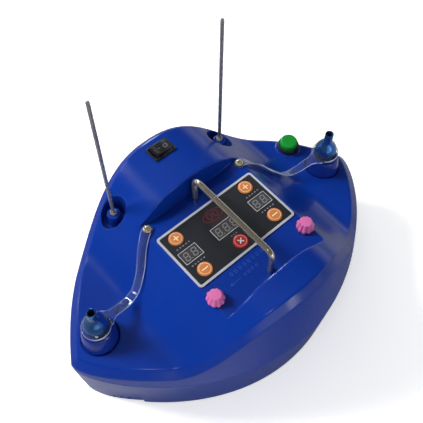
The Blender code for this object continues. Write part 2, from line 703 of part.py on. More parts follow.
# ------------------------------------------------------------------ nozzles
# closed profiles of radius, height
CONE = [
    (2.9, 7.6), (3.66, 7.4), (3.75, -0.4), (4.7, -2.6), (8.0, -7.2), (9.1, -10.0),
    (9.4, -12.4), (9.3, -14.4), (8.8, -14.9), (6.1, -14.9), (6.1, -7.0), (2.9, -6.0),
]
STEM = [
    (4.2, -7.3), (5.8, -7.3), (5.8, -25.8), (10.4, -25.8),
    (10.4, -27.4), (5.8, -27.4), (5.8, -58.0), (4.2, -58.0),
]
BELL = [
    (8.2, -21.6), (10.6, -21.6), (12.2, -23.2), (13.4, -27.0), (14.9, -36.0), (14.9, -42.2),
    (8.2, -42.2), (8.2, -70.0), (6.1, -70.0), (6.1, -40.0), (12.6, -40.0), (11.1, -25.2), (8.2, -23.8),
]
AIR_HOSE = [(8.5, -64.0), (10.4, -64.0), (10.4, -81.4), (8.5, -81.4)]
SWITCH_PIN = [(0, -27.7), (0.8, -27.7), (0.8, -48.0), (0, -48.0)]    # open profile
PIN_IN, PIN_BORE_R = 9.4, 1.1       # pin from the nozzle axis toward the middle
MICROSWITCH_IN = 12.0
SPRING_R, SPRING_FOOT, SPRING_H, SPRING_WIRE_R = 7.1, -39.0, 10.6, 0.5
SPRING_TURNS, SPRING_STEPS = 3.5, 12    # steps to each turn


def nozzle(word, side):
    spot = (side * NOZZLE_X, NOZZLE_Y, 0)
    turned("nozzle_cone_" + word, CONE, BLUE_METAL, spot, 20, closed=True)
    turned("nozzle_stem_" + word, STEM, STEEL, spot, 16, closed=True)
    base = turned("nozzle_base_" + word, BELL, BLUE, spot, 20, closed=True)
    pin_spot = (side * (NOZZLE_X - PIN_IN), NOZZLE_Y, 0)
    cut(base, drum("cut_pin_" + word, PIN_BORE_R, -50, -38, at=pin_spot, sides=10))
    turned("switch_pin_" + word, SWITCH_PIN, STEEL, pin_spot, 10)
    coil = []
    for i in range(int(SPRING_TURNS * SPRING_STEPS) + 1):
        angle = 2 * pi * i / SPRING_STEPS
        rise = SPRING_H * i / (SPRING_TURNS * SPRING_STEPS)
        coil.append((SPRING_R * cos(angle), SPRING_R * sin(angle), SPRING_FOOT + rise))
    wire("nozzle_spring_" + word, coil, SPRING_WIRE_R, STEEL, bevel=0, at=spot)
    box("microswitch_" + word, about(3.2), about(10.0), (-61.6, -51.6), BLACK,
        (side * (NOZZLE_X - MICROSWITCH_IN), NOZZLE_Y, 0))
    turned("air_hose_" + word, AIR_HOSE, RUBBER, spot, 16, closed=True)


# ------------------------------------------------------------------ clear straps
STRAP_W, STRAP_T, STRAP_LIFT, STRAP_STEPS = 8.0, 1.4, 0.8, 14
STRAP_RING_Z = -18.6
RISE_START, RISE_RUN = 84.0, 30.0   # x where the strap leaves the housing, and how far it climbs
# Bezier control points (x, y) from the eye to the ring round the nozzle
STRAP_PATH = ((STRAP_X, STRAP_Y), (62.0, 36.0), (72.0, 10.0), (NOZZLE_X - 9.0, NOZZLE_Y))
STRAP_SCREW = [  # radius, height
    (0, 2.9), (2.4, 2.7), (3.5, 1.6), (3.5, 1.4), (1.5, 1.4), (1.5, -8.0), (0, -8.0),
]
CROSS_LONG, CROSS_SHORT = 1.9, 0.35     # half sizes of the screw's cross slot


def strap_rise(x):
    """Smooth climb from the housing to the ring."""
    s = min(max((x - RISE_START) / RISE_RUN, 0.0), 1.0)
    climb = STRAP_RING_Z - crown(RISE_START + RISE_RUN) - STRAP_LIFT
    return s * s * (3 - 2 * s) * climb


def strap_sections():
    """Cross sections of the right strap, from the eye to the ring."""
    sections = []
    for i in range(STRAP_STEPS + 1):
        x, y, dx, dy = bezier(STRAP_PATH, i / STRAP_STEPS)
        length = hypot(dx, dy)
        across_x, across_y = -dy / length * STRAP_W / 2, dx / length * STRAP_W / 2
        edges = []
        for k in (1, -1):
            edge_x = x + k * across_x
            z = min(crown(edge_x), FLOOR_Z) + STRAP_LIFT + strap_rise(x)
            if i == STRAP_STEPS:
                z = STRAP_RING_Z
            edges.append((edge_x, y + k * across_y, z))
        upper_edges = [(px, py, pz + STRAP_T) for px, py, pz in reversed(edges)]
        sections.append(edges + upper_edges)
    return sections


def strap(word, side):
    work = loft(strap_sections())
    for vert in work.verts:
        vert.co.x *= side
    face_out(work)
    band_obj = finish(work, "strap_" + word, CLEAR_PVC)
    ring = (side * NOZZLE_X, NOZZLE_Y, 0)
    eye = (side * STRAP_X, STRAP_Y, 0)
    ring_z = STRAP_RING_Z + STRAP_T / 2
    eye_z = FLOOR_Z + STRAP_LIFT
    join(band_obj, drum("add_ring_" + word, 11.6, ring_z - 1.6, ring_z + 2.2, at=ring, sides=28))
    join(band_obj, drum("add_eye_" + word, 5.0, eye_z, eye_z + STRAP_T, at=eye, sides=20))
    cut(band_obj, drum("cut_ring_" + word, 6.3, -30, 0, at=ring))
    cut(band_obj, drum("cut_eye_" + word, SCREW_BORE_R, -10, 10, at=eye, sides=12))


def strap_screw(word, side):
    spot = (side * STRAP_X, STRAP_Y, 0)
    screw = turned("strap_screw_" + word, STRAP_SCREW, STEEL, spot, 16)
    for k, (half_x, half_y) in enumerate(((CROSS_LONG, CROSS_SHORT), (CROSS_SHORT, CROSS_LONG))):
        cut(screw, box("cut_cross_%d_%s" % (k, word), about(half_x), about(half_y),
                       (2.2 - 0.1 * k, 5.0), at=spot))


# ------------------------------------------------------------------ blowers
BLOWER_R, BLOWER_SKIN, BLOWER_TOP, BLOWER_FOOT = 34.0, 2, -82.0, -111.0
BLOWER_BORE_R, INTAKE_R = 5.0, 15.0     # openings in the roof and the floor
INNER_R, INNER_FOOT = BLOWER_R - BLOWER_SKIN, BLOWER_FOOT + BLOWER_SKIN
INNER_TOP = BLOWER_TOP - BLOWER_SKIN
BLOWER_SHELL = [  # radius, height
    (BLOWER_BORE_R, BLOWER_TOP), (BLOWER_R, BLOWER_TOP),
    (BLOWER_R, BLOWER_FOOT), (INTAKE_R, BLOWER_FOOT),
    (INTAKE_R, INNER_FOOT), (INNER_R, INNER_FOOT),
    (INNER_R, INNER_TOP), (BLOWER_BORE_R, INNER_TOP),
]
IMPELLER = [  # radius, height
    (0, -54.0), (1.6, -54.0), (1.6, -86.0), (29.0, -86.0),
    (29.0, -87.5), (6.0, -87.5), (6.0, -104.0), (0, -104.0),
]
MOTOR = [  # radius, height
    (0, -48.0), (15.0, -48.0), (17.5, -50.0), (17.5, -81.6), (2.2, -81.6), (2.2, -53.0), (0, -53.0),
]
BLADES, BLADE_SIZE, BLADE_CENTRE = 6, (23.5, 1.4, 17.0), (16.9, 0, -95.4)
THROAT_HALF = 4.5


def blower_housing(word, side):
    spot = (side * BLOWER_X, BLOWER_Y, 0)
    spout = (side * NOZZLE_X, NOZZLE_Y, 0)
    shell = turned("blower_housing_" + word, BLOWER_SHELL, BLACK, spot, 24, closed=True)
    join(shell, drum("add_spout_" + word, 8.0, INNER_FOOT, -74.0, at=spout, sides=16))
    cut(shell, drum("cut_spout_" + word, 6.2, -107.0, -70.0, at=spout, sides=16))
    throat_x = sorted((side * (BLOWER_X + BLOWER_R - 6), side * NOZZLE_X))
    cut(shell, box("cut_throat_" + word, throat_x,
                   (NOZZLE_Y - THROAT_HALF, NOZZLE_Y + THROAT_HALF), (-106.0, -90.0)))
    # clears what the spout put inside the round chamber
    cut(shell, drum("keep_round_" + word, INNER_R, INNER_FOOT, INNER_TOP, at=spot))


def impeller_and_motor(word, side):
    spot = (side * BLOWER_X, BLOWER_Y, 0)
    wheel = turned("impeller_" + word, IMPELLER, BLACK, spot, 20)
    work = bmesh.new()
    for k in range(BLADES):
        blade = add_block(work, BLADE_SIZE, BLADE_CENTRE)
        bmesh.ops.rotate(work, verts=blade, cent=ORIGIN,
                         matrix=Matrix.Rotation(2 * pi * k / BLADES, 3, "Z"))
    join(wheel, finish(work, "add_blades_" + word, at=spot))
    turned("motor_" + word, MOTOR, STEEL, spot, 20)


# ------------------------------------------------------------------ power and wiring
POWER_TOP, POWER_T = -108.4, 1.6
PART_FOOT = -109.0                  # board parts start inside the board
CAPACITORS = ((10, 52, 5, 16), (22, 52, 5, 16), (14, 74, 4, 10), (26, 74, 4, 10))  # x, y, radius, height
INLET_PINS = ((-6.5, -84.5), (6.5, -84.5), (0.0, -88.0))    # x, z
PIN_SIZE, PIN_Y = (2.0, 14.0, 4.0), 98.0
PANEL_LEAD = [(30, 18, -12.5), (30, 20, -30), (30, 30, -60), (30, 42, -80), (30, 50, -106)]


def power_board():
    board = box("power_board", about(34), (38, 86), (POWER_TOP - POWER_T, POWER_TOP), BOARD)
    join(board, box("add_transformer", (-26, -4), (46, 70), (PART_FOOT, -86.0)))
    join(board, group("add_capacitors", [(radius, PART_FOOT, POWER_TOP + height, 12, x, y)
                                         for x, y, radius, height in CAPACITORS]))


def mains_inlet():
    inlet = box("mains_inlet", about(INLET_HALF), (88.0, 107.0), (INLET_LOW, INLET_HIGH), BLACK)
    join(inlet, box("add_flange", about(FLANGE_HALF), (106.3, 108.2), (FLANGE_LOW, FLANGE_HIGH)))
    cut(inlet, box("cut_socket", about(11.0), (92.0, 112.0), (INLET_LOW + 3, INLET_HIGH - 3)))
    pins = [(PIN_SIZE, (x, PIN_Y, z)) for x, z in INLET_PINS]
    join(inlet, group("add_pins", blocks=pins))


# ------------------------------------------------------------------ build
upper_shell()
lower_shell()
panel_overlay()
control_board()
carry_handle()
rocker_switch()
push_button()
for word, side in SIDES:
    feet_and_case_screws(word, side)
    knob_and_pot(word, side)
    rod(word, side)
    nozzle(word, side)
    strap(word, side)
    strap_screw(word, side)
    blower_housing(word, side)
    impeller_and_motor(word, side)
power_board()
mains_inlet()
wire("panel_lead", PANEL_LEAD, 1.5, WIRE, bevel=1)
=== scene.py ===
"""Looks of the twin-nozzle balloon inflator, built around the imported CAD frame.

Lengths in the shape code are millimetres in the panel's frame (X right, Y rear,
Z up, zero at the panel centre); W() turns them into the frame's metres.
"""

import json
from math import atan2, cos, hypot, pi, radians, sin, sqrt

import bmesh
import bpy
import numpy as np
from mathutils import Matrix, Vector
from mathutils.geometry import delaunay_2d_cdt
from mathutils.kdtree import KDTree

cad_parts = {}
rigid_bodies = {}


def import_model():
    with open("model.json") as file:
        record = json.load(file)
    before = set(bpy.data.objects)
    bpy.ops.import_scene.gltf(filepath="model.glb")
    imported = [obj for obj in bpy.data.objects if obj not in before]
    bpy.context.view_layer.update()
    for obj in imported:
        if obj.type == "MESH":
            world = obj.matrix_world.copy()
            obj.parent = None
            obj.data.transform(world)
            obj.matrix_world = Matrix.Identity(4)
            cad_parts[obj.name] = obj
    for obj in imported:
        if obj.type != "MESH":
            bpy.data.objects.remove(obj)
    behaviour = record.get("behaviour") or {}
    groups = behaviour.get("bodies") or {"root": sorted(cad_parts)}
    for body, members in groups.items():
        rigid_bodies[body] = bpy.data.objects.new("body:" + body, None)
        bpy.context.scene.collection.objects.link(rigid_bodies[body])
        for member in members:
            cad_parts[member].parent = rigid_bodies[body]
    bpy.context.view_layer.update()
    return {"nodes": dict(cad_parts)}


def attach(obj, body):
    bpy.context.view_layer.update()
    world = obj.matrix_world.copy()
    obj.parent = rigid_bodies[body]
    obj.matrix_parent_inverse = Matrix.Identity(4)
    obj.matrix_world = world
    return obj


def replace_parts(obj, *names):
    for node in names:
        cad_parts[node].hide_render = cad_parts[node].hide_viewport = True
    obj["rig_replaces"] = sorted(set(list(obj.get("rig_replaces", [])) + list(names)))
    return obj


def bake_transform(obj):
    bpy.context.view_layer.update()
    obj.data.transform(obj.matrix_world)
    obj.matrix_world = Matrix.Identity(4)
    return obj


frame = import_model()
SCENE = bpy.context.scene

# ------------------------------------------------------------ driving sizes, mm
MM = 0.001
DATUM_Y, DATUM_Z = -7.0, 120.0
SEAM_Z, FOOT_Z = -56.0, -117.0
WALL, CLEAR = 2.6, 0.3
UPPER_DRAFT, LOWER_DRAFT = 0.12, 0.08
BEVEL_IN, BEVEL_DOWN = 6.4, 7.1
NOSE = ((0.0, -95.5), (95.0, -95.5), (161.3, -3.0), (154.0, 9.3))
TAIL = ((154.0, 9.3), (126.5, 55.1), (78.0, 109.5), (0.0, 109.5))
CROWN_TOP, WING_TOP, CROWN_HALF, CROWN_POWER = 20.0, -36.0, 100.0, 1.34
WING_FALL, CROWN_TILT = 0.0036, 0.013
FLOOR_Z = -1.1
RECESS_FRONT, RECESS_REAR = -58.3, 45.0
TROUGH_DEPTH = 3.0
PANEL_X, PANEL_Y, PANEL_R = 100.3, 54.8, 3.0
WINDOW_X, WINDOW_Y = 91.0, 49.8
BUTTON_R = 6.3
BUTTON_X, PLUS_Y, MINUS_Y = 36.9, 18.0, -16.8
DISPLAY_X, DISPLAY_SIZE, CENTRE_SIZE, DISPLAY_Y = 36.7, (16.5, 10.9), (24.0, 10.9), 0.2
KNOB_X, KNOB_Y, KNOB_H, KNOB_LOBES = 47.2, -40.7, 8.5, 10
NOZZLE_X, NOZZLE_Y = 124.5, 7.4
ROD_X, ROD_Y, ROD_R, ROD_TIP = 57.6, 73.4, 1.5, 129.0
ROD_RECESS_R, ROD_BOSS_R, ROD_BOSS_Z, ROD_FLOOR_Z = 11.0, 5.5, -8.0, -22.0
HANDLE_R, HANDLE_TOP, HANDLE_FRONT, HANDLE_REAR, HANDLE_BEND = 2.5, 24.8, -50.2, 38.3, 7.0
SWITCH_Y, SWITCH_Z, SWITCH_TILT = 80.9, 19.8, radians(-2.8)
GREEN_X, GREEN_Y, GREEN_Z = 114.0, 41.0, -35.0
STRAP_X, STRAP_Y, STRAP_W, STRAP_T = 49.0, 38.9, 8.0, 1.4
BLOWER_X, BLOWER_Y = 84.0, 8.0
POSTS = (("front", 100.0, -38.0), ("rear", 88.0, 66.0))
FEET = (("front", 116.0, -20.0), ("rear", 64.0, 76.0))
SIDES = (("left", -1), ("right", 1))


def W(p):
    return (p[0] * MM, (p[1] + DATUM_Y) * MM, (p[2] + DATUM_Z) * MM)


# --------------------------------------------------------------------- materials
class Nodes:
    """Short-hand for wiring a node tree."""

    def __init__(self, name):
        self.mat = bpy.data.materials.new(name)
        self.mat.use_nodes = True
        self.tree = self.mat.node_tree
        self.bsdf = self.tree.nodes["Principled BSDF"]
        self.coord = self.node("ShaderNodeTexCoord").outputs["Object"]

    def node(self, kind, **values):
        n = self.tree.nodes.new(kind)
        for k, v in values.items():
            if hasattr(n, k):
                setattr(n, k, v)
            else:
                n.inputs[k.replace("_", " ")].default_value = v
        return n

    def link(self, a, b):
        self.tree.links.new(a, b)

    def set(self, **values):
        for k, v in values.items():
            self.bsdf.inputs[k.replace("_", " ")].default_value = v

    def noise(self, scale, detail=3.0, stretch=None, rough=0.5):
        n = self.node("ShaderNodeTexNoise")
        n.inputs["Scale"].default_value = scale
        n.inputs["Detail"].default_value = detail
        n.inputs["Roughness"].default_value = rough
        src = self.coord
        if stretch:
            m = self.node("ShaderNodeMapping")
            m.inputs["Scale"].default_value = stretch
            self.link(self.coord, m.inputs["Vector"])
            src = m.outputs["Vector"]
        self.link(src, n.inputs["Vector"])
        return n.outputs["Fac"]

    def ramp(self, fac, stops):
        r = self.node("ShaderNodeValToRGB")
        els = r.color_ramp.elements
        while len(els) < len(stops):
            els.new(0.5)
        for el, (pos, col) in zip(els, stops):
            el.position = pos
            el.color = (*col, 1.0) if len(col) == 3 else (col[0], col[0], col[0], 1.0)
        self.link(fac, r.inputs["Fac"])
        return r.outputs["Color"]

    def spread(self, fac, low, high, a=0.0, b=1.0):
        m = self.node("ShaderNodeMapRange")
        for k, v in (("From Min", a), ("From Max", b), ("To Min", low), ("To Max", high)):
            m.inputs[k].default_value = v
        self.link(fac, m.inputs["Value"])
        return m.outputs["Result"]

    def mix(self, fac, a, b, kind="MIX"):
        m = self.node("ShaderNodeMix", data_type="RGBA", blend_type=kind)
        if isinstance(fac, float):
            m.inputs[0].default_value = fac
        else:
            self.link(fac, m.inputs[0])
        for sock, v in ((m.inputs[6], a), (m.inputs[7], b)):
            if isinstance(v, tuple):
                sock.default_value = (*v, 1.0)
            else:
                self.link(v, sock)
        return m.outputs[2]

    def math(self, op, a, b=0.0):
        m = self.node("ShaderNodeMath", operation=op)
        for sock, v in ((m.inputs[0], a), (m.inputs[1], b)):
            if isinstance(v, (int, float)):
                sock.default_value = v
            else:
                self.link(v, sock)
        return m.outputs[0]

    def bump(self, height, strength, distance=0.0001, under=None):
        b = self.node("ShaderNodeBump")
        b.inputs["Strength"].default_value = strength
        b.inputs["Distance"].default_value = distance
        self.link(height, b.inputs["Height"])
        if under is not None:
            self.link(under, b.inputs["Normal"])
        return b.outputs["Normal"]


def scale_rgb(c, k):
    return tuple(min(1.0, x * k) for x in c)


def moulded(name, colour, rough, metal=0.0, vary=0.10, grain=2600.0, bump=0.05, blotch=22.0, coat=0.0, wear=0.25,
            spec=0.5, stretch=None, sheen=0.0, fleck=0.0):
    """Moulded or machined surface: slow colour drift, uneven gloss, fine grain, faint scuffs on the convex edges."""
    n = Nodes(name)
    drift = n.noise(blotch, 4.0)
    fine = n.noise(grain, 2.0, stretch)
    base = n.ramp(drift, [(0.3, scale_rgb(colour, 1 - vary)), (0.7, scale_rgb(colour, 1 + vary))])
    if wear:
        geo = n.node("ShaderNodeNewGeometry")
        edge = n.spread(geo.outputs["Pointiness"], 0.0, 1.0, 0.515, 0.60)
        scuff = n.math("MULTIPLY", edge, n.spread(n.noise(420.0, 5.0), 0.0, 1.0, 0.42, 0.66))
        base = n.mix(n.math("MULTIPLY", scuff, wear), base, scale_rgb(tuple(0.75 * c + 0.12 for c in colour), 1.15))
    if fleck:
        dots = n.spread(n.noise(1500.0, 1.0), 0.0, fleck, 0.70, 0.78)
        base = n.mix(dots, base, (0.75, 0.77, 0.80))
    n.link(base, n.bsdf.inputs["Base Color"])
    n.link(n.spread(n.math("ADD", n.math("MULTIPLY", n.noise(55.0, 5.0), 0.7), n.math("MULTIPLY", fine, 0.3)), rough * 0.72, min(1.0, rough * 1.30)), n.bsdf.inputs["Roughness"])
    n.set(Metallic=metal, Specular_IOR_Level=spec, Coat_Weight=coat, Coat_Roughness=0.08, Sheen_Weight=sheen)
    if bump:
        n.link(n.bump(fine, bump), n.bsdf.inputs["Normal"])
    return n.mat


def shell_plastic():
    """Glossy blue ABS: faint orange peel, flow drift, dust in the gloss and hairline scuffs."""
    n = Nodes("glossy_blue_abs")
    drift = n.noise(7.0, 3.0)
    base = n.ramp(drift, [(0.25, (0.0020, 0.0255, 0.238)), (0.75, (0.0028, 0.0335, 0.290))])
    geo = n.node("ShaderNodeNewGeometry")
    edge = n.spread(geo.outputs["Pointiness"], 0.0, 1.0, 0.52, 0.62)
    scuff = n.math("MULTIPLY", edge, n.spread(n.noise(300.0, 6.0), 0.0, 1.0, 0.50, 0.68))
    base = n.mix(n.math("MULTIPLY", scuff, 0.12), base, (0.03, 0.10, 0.42))
    hair = n.noise(900.0, 2.0, (1.0, 0.03, 0.3))
    hair2 = n.noise(1100.0, 2.0, (0.04, 1.0, 0.3))
    lines = n.math("MAXIMUM", n.spread(hair, 0.0, 1.0, 0.735, 0.80), n.spread(hair2, 0.0, 1.0, 0.745, 0.81))
    patch = n.spread(n.noise(26.0, 2.0), 0.0, 1.0, 0.50, 0.72)
    scratch = n.math("MULTIPLY", lines, patch)
    dust = n.spread(n.noise(2400.0, 1.0), 0.0, 1.0, 0.755, 0.80)
    base = n.mix(n.math("MULTIPLY", dust, 0.16), base, (0.35, 0.42, 0.60))
    n.link(base, n.bsdf.inputs["Base Color"])
    rough = n.spread(n.noise(34.0, 6.0), 0.14, 0.25)
    rough = n.math("ADD", rough, n.math("MULTIPLY", scratch, 0.07))
    n.link(rough, n.bsdf.inputs["Roughness"])
    n.set(Specular_IOR_Level=0.5)
    peel = n.bump(n.noise(420.0, 2.0), 0.10, 0.0002)
    n.link(n.bump(n.noise(3800.0, 2.0), 0.035, 0.0001, peel), n.bsdf.inputs["Normal"])
    return n.mat


def plated(name, colour, rough=0.10, vary=0.12, brushed=None, bump=0.03, coat=0.0, metal=1.0):
    """Plated or polished metal with thin swirl marks."""
    n = Nodes(name)
    drift = n.noise(60.0, 3.0)
    n.link(n.ramp(drift, [(0.3, scale_rgb(colour, 1 - vary)), (0.7, scale_rgb(colour, 1 + vary))]), n.bsdf.inputs["Base Color"])
    swirl = n.noise(2600.0, 3.0, brushed or (1.0, 1.0, 0.15))
    n.link(n.spread(n.math("ADD", n.math("MULTIPLY", swirl, 0.5), n.math("MULTIPLY", n.noise(140.0, 4.0), 0.5)), rough * 0.5, rough * 1.7), n.bsdf.inputs["Roughness"])
    n.set(Metallic=metal, Coat_Weight=coat, Coat_Roughness=0.06)
    n.link(n.bump(swirl, bump), n.bsdf.inputs["Normal"])
    return n.mat


def clear_strap():
    """Clear soft PVC: a glossy skin over a nearly invisible body, hazier where it is seen edge on."""
    n = Nodes("clear_soft_pvc")
    haze = n.noise(120.0, 4.0)
    bump = n.bump(n.noise(240.0, 3.0), 0.05, 0.0004)
    face = n.node("ShaderNodeLayerWeight")
    face.inputs["Blend"].default_value = 0.5
    rim = n.math("POWER", face.outputs["Facing"], 3.0)
    n.link(n.ramp(haze, [(0.3, (0.42, 0.52, 0.80)), (0.7, (0.58, 0.67, 0.90))]), n.bsdf.inputs["Base Color"])
    n.set(Roughness=0.10, Specular_IOR_Level=0.5)
    n.link(bump, n.bsdf.inputs["Normal"])
    clear = n.node("ShaderNodeBsdfTransparent")
    clear.inputs["Color"].default_value = (0.93, 0.95, 0.99, 1.0)
    body = n.node("ShaderNodeMixShader")
    n.link(n.math("MINIMUM", n.math("ADD", n.math("MULTIPLY", rim, 0.8), n.spread(haze, 0.01, 0.045)), 0.85), body.inputs[0])
    n.link(clear.outputs[0], body.inputs[1])
    n.link(n.bsdf.outputs[0], body.inputs[2])
    gloss = n.node("ShaderNodeBsdfGlossy")
    gloss.inputs["Roughness"].default_value = 0.07
    n.link(bump, gloss.inputs["Normal"])
    fresnel = n.node("ShaderNodeFresnel")
    fresnel.inputs["IOR"].default_value = 1.52
    skin = n.node("ShaderNodeMixShader")
    n.link(n.math("MINIMUM", n.math("MULTIPLY", fresnel.outputs[0], 1.0), 0.8), skin.inputs[0])
    n.link(body.outputs[0], skin.inputs[1])
    n.link(gloss.outputs[0], skin.inputs[2])
    out = next(k for k in n.tree.nodes if k.type == "OUTPUT_MATERIAL")
    n.link(skin.outputs[0], out.inputs["Surface"])
    return n.mat


def strap_edge():
    """The cut edge of the clear strap: it gathers light along the strap and shows as a pale line."""
    n = Nodes("clear_pvc_edge")
    haze = n.noise(90.0, 4.0)
    n.link(n.ramp(haze, [(0.3, (0.42, 0.52, 0.80)), (0.7, (0.66, 0.76, 0.98))]), n.bsdf.inputs["Base Color"])
    n.set(Roughness=0.16, Specular_IOR_Level=0.5)
    clear = n.node("ShaderNodeBsdfTransparent")
    clear.inputs["Color"].default_value = (0.93, 0.95, 0.99, 1.0)
    body = n.node("ShaderNodeMixShader")
    n.link(n.spread(haze, 0.25, 0.85), body.inputs[0])
    n.link(clear.outputs[0], body.inputs[1])
    n.link(n.bsdf.outputs[0], body.inputs[2])
    out = next(k for k in n.tree.nodes if k.type == "OUTPUT_MATERIAL")
    n.link(body.outputs[0], out.inputs["Surface"])
    return n.mat


def board_material():
    n = Nodes("circuit_board_green")
    brick = n.node("ShaderNodeTexVoronoi", feature="DISTANCE_TO_EDGE")
    brick.inputs["Scale"].default_value = 330.0
    n.link(n.coord, brick.inputs["Vector"])
    trace = n.spread(brick.outputs["Distance"], 1.0, 0.0, 0.02, 0.07)
    n.link(n.mix(n.math("MULTIPLY", trace, 0.6), (0.012, 0.11, 0.035), (0.06, 0.30, 0.10)), n.bsdf.inputs["Base Color"])
    n.set(Roughness=0.38)
    n.link(n.bump(trace, 0.3), n.bsdf.inputs["Normal"])
    return n.mat


M = {
    "shell": shell_plastic(),
    "bell": moulded("gloss_navy_abs", (0.006, 0.022, 0.20), 0.16, bump=0.04, wear=0.2),
    "cone": plated("blue_plated_metal", (0.040, 0.155, 0.45), 0.17, coat=0.40, metal=0.84),
    "chrome": plated("warm_chrome", (0.66, 0.59, 0.47), 0.20, brushed=(1.0, 0.05, 1.0), metal=0.91, vary=0.06),
    "rod": plated("drawn_steel_rod", (0.40, 0.39, 0.40), 0.24, brushed=(1.0, 1.0, 0.04), metal=0.75),
    "ferrule": plated("nickel_ferrule", (0.80, 0.74, 0.62), 0.16, metal=0.7),
    "steel": plated("nickel_steel", (0.62, 0.61, 0.60), 0.17),
    "can": moulded("motor_can_steel", (0.40, 0.40, 0.41), 0.32, 1.0, stretch=(1, 1, 0.05)),
    "panel": moulded("charcoal_film", (0.015, 0.016, 0.020), 0.36, bump=0.09, grain=3400.0, wear=0.0, vary=0.16, fleck=0.05),
    "border": moulded("panel_border_ink", (0.42, 0.44, 0.50), 0.34, wear=0.0, bump=0.05),
    "mark": moulded("grey_ink", (0.26, 0.26, 0.27), 0.45, wear=0.0, vary=0.08, bump=0.10),
    "cream": moulded("cream_ink", (0.88, 0.66, 0.44), 0.45, wear=0.0, vary=0.05, bump=0.10),
    "ink": moulded("white_ink", (0.56, 0.56, 0.58), 0.45, wear=0.0, vary=0.05, bump=0.10),
    "red_ink": moulded("red_ink", (0.17, 0.018, 0.018), 0.42, wear=0.0, vary=0.10, bump=0.10),
    "orange": moulded("orange_key", (0.53, 0.185, 0.050), 0.34, vary=0.06, bump=0.06, wear=0.15),
    "orange_ring": moulded("orange_key_ring", (0.78, 0.43, 0.23), 0.45, wear=0.0),
    "red": moulded("red_key", (0.42, 0.026, 0.022), 0.34, vary=0.08, bump=0.06, wear=0.15),
    "red_dark": moulded("red_key_ring", (0.62, 0.16, 0.13), 0.45, wear=0.0),
    "knob": moulded("pink_knob", (0.62, 0.145, 0.37), 0.36, vary=0.05, bump=0.10, grain=1800.0, wear=0.2),
    "knob_metal": moulded("knob_pink_cap", (0.80, 0.085, 0.36), 0.36, vary=0.05, bump=0.10, wear=0.0),
    "green": moulded("green_cap", (0.004, 0.26, 0.025), 0.32, vary=0.08, bump=0.05, wear=0.2),
    "black": moulded("black_nylon", (0.014, 0.014, 0.016), 0.36, vary=0.15, bump=0.10, wear=0.3),
    "black_gloss": moulded("black_gloss", (0.010, 0.010, 0.012), 0.22, vary=0.15, bump=0.05, wear=0.3),
    "glass": moulded("display_filter", (0.056, 0.056, 0.060), 0.16, wear=0.0, bump=0.03),
    "segment": moulded("unlit_segments", (0.16, 0.16, 0.168), 0.40, wear=0.0, vary=0.08, bump=0.05),
    "rubber": moulded("foot_rubber", (0.020, 0.020, 0.021), 0.74, bump=0.35, grain=1500.0, wear=0.0, fleck=0.04),
    "hose": moulded("hose_rubber", (0.030, 0.030, 0.032), 0.60, bump=0.25, grain=1200.0, wear=0.0),
    "pcb": board_material(),
    "wire": moulded("wire_insulation", (0.40, 0.035, 0.022), 0.46, bump=0.10, wear=0.0),
    "strap": clear_strap(),
    "strap_edge": strap_edge(),
    "screw": plated("nickel_screw", (0.74, 0.67, 0.50), 0.22, metal=0.80),
    # raised marks: the shell's blue lightened as a painted highlight for the light their edges catch
    "raised": moulded("raised_marks_painted_highlight_blue", (0.016, 0.070, 0.42), 0.26, wear=0.0, vary=0.10),
    "switch_mark": moulded("switch_mark_ink", (0.13, 0.13, 0.135), 0.45, wear=0.0, vary=0.05, bump=0.08),
    "key_well": moulded("red_key_disc", (0.30, 0.020, 0.018), 0.36, wear=0.0, vary=0.08),
}


# --------------------------------------------------------------------- mesh code
class Form:
    """Points, faces and a material number per face, in millimetres."""

    def __init__(self):
        self.v, self.f, self.m = [], [], []

    def add(self, verts, faces, mat=0, at=(0, 0, 0), turn=None):
        off = len(self.v)
        for p in verts:
            q = Vector(p)
            if turn is not None:
                q = turn @ q
            self.v.append((q.x + at[0], q.y + at[1], q.z + at[2]))
        self.f += [tuple(i + off for i in f) for f in faces]
        self.m += mat if isinstance(mat, list) else [mat] * len(faces)
        return self


def loft(rings, closed=True, caps=(True, True), wrap=False):
    n = len(rings[0])
    verts = [p for ring in rings for p in ring]
    faces = []
    last = len(rings) if wrap else len(rings) - 1
    for k in range(last):
        a, b = k * n, ((k + 1) % len(rings)) * n
        for i in range(n if closed else n - 1):
            j = (i + 1) % n
            faces.append((a + i, a + j, b + j, b + i))
    if not wrap:
        if caps[0]:
            faces.append(tuple(reversed(range(n))))
        if caps[1]:
            faces.append(tuple(range((len(rings) - 1) * n, len(rings) * n)))
    return verts, faces


def soften(profile, r=0.4, steps=3, closed=False):
    """Rounds the corners of a line; a third number on a point is its own radius."""
    out, n = [], len(profile)
    for i, p in enumerate(profile):
        q = Vector(p[:2])
        if not closed and i in (0, n - 1):
            out.append(tuple(q))
            continue
        a, b = Vector(profile[i - 1][:2]), Vector(profile[(i + 1) % n][:2])
        want = p[2] if len(p) > 2 else r
        d = min(want, 0.46 * (a - q).length, 0.46 * (b - q).length)
        if d < 0.004:
            out.append(tuple(q))
            continue
        s, e = q + (a - q).normalized() * d, q + (b - q).normalized() * d
        for k in range(steps + 1):
            t = k / steps
            out.append(tuple(s * (1 - t) ** 2 + q * 2 * t * (1 - t) + e * t * t))
    return out


def flow(points, per=5):
    """A smooth line through points of any dimension (Catmull-Rom)."""
    pts = [Vector(p) for p in points]
    pts = [2 * pts[0] - pts[1]] + pts + [2 * pts[-1] - pts[-2]]
    out = []
    for i in range(1, len(pts) - 2):
        a, b, c, d = pts[i - 1:i + 3]
        for k in range(per):
            t = k / per
            out.append(tuple(0.5 * (2 * b + (c - a) * t + (2 * a - 5 * b + 4 * c - d) * t * t + (3 * b - a - 3 * c + d) * t ** 3)))
    out.append(tuple(pts[-2]))
    return out


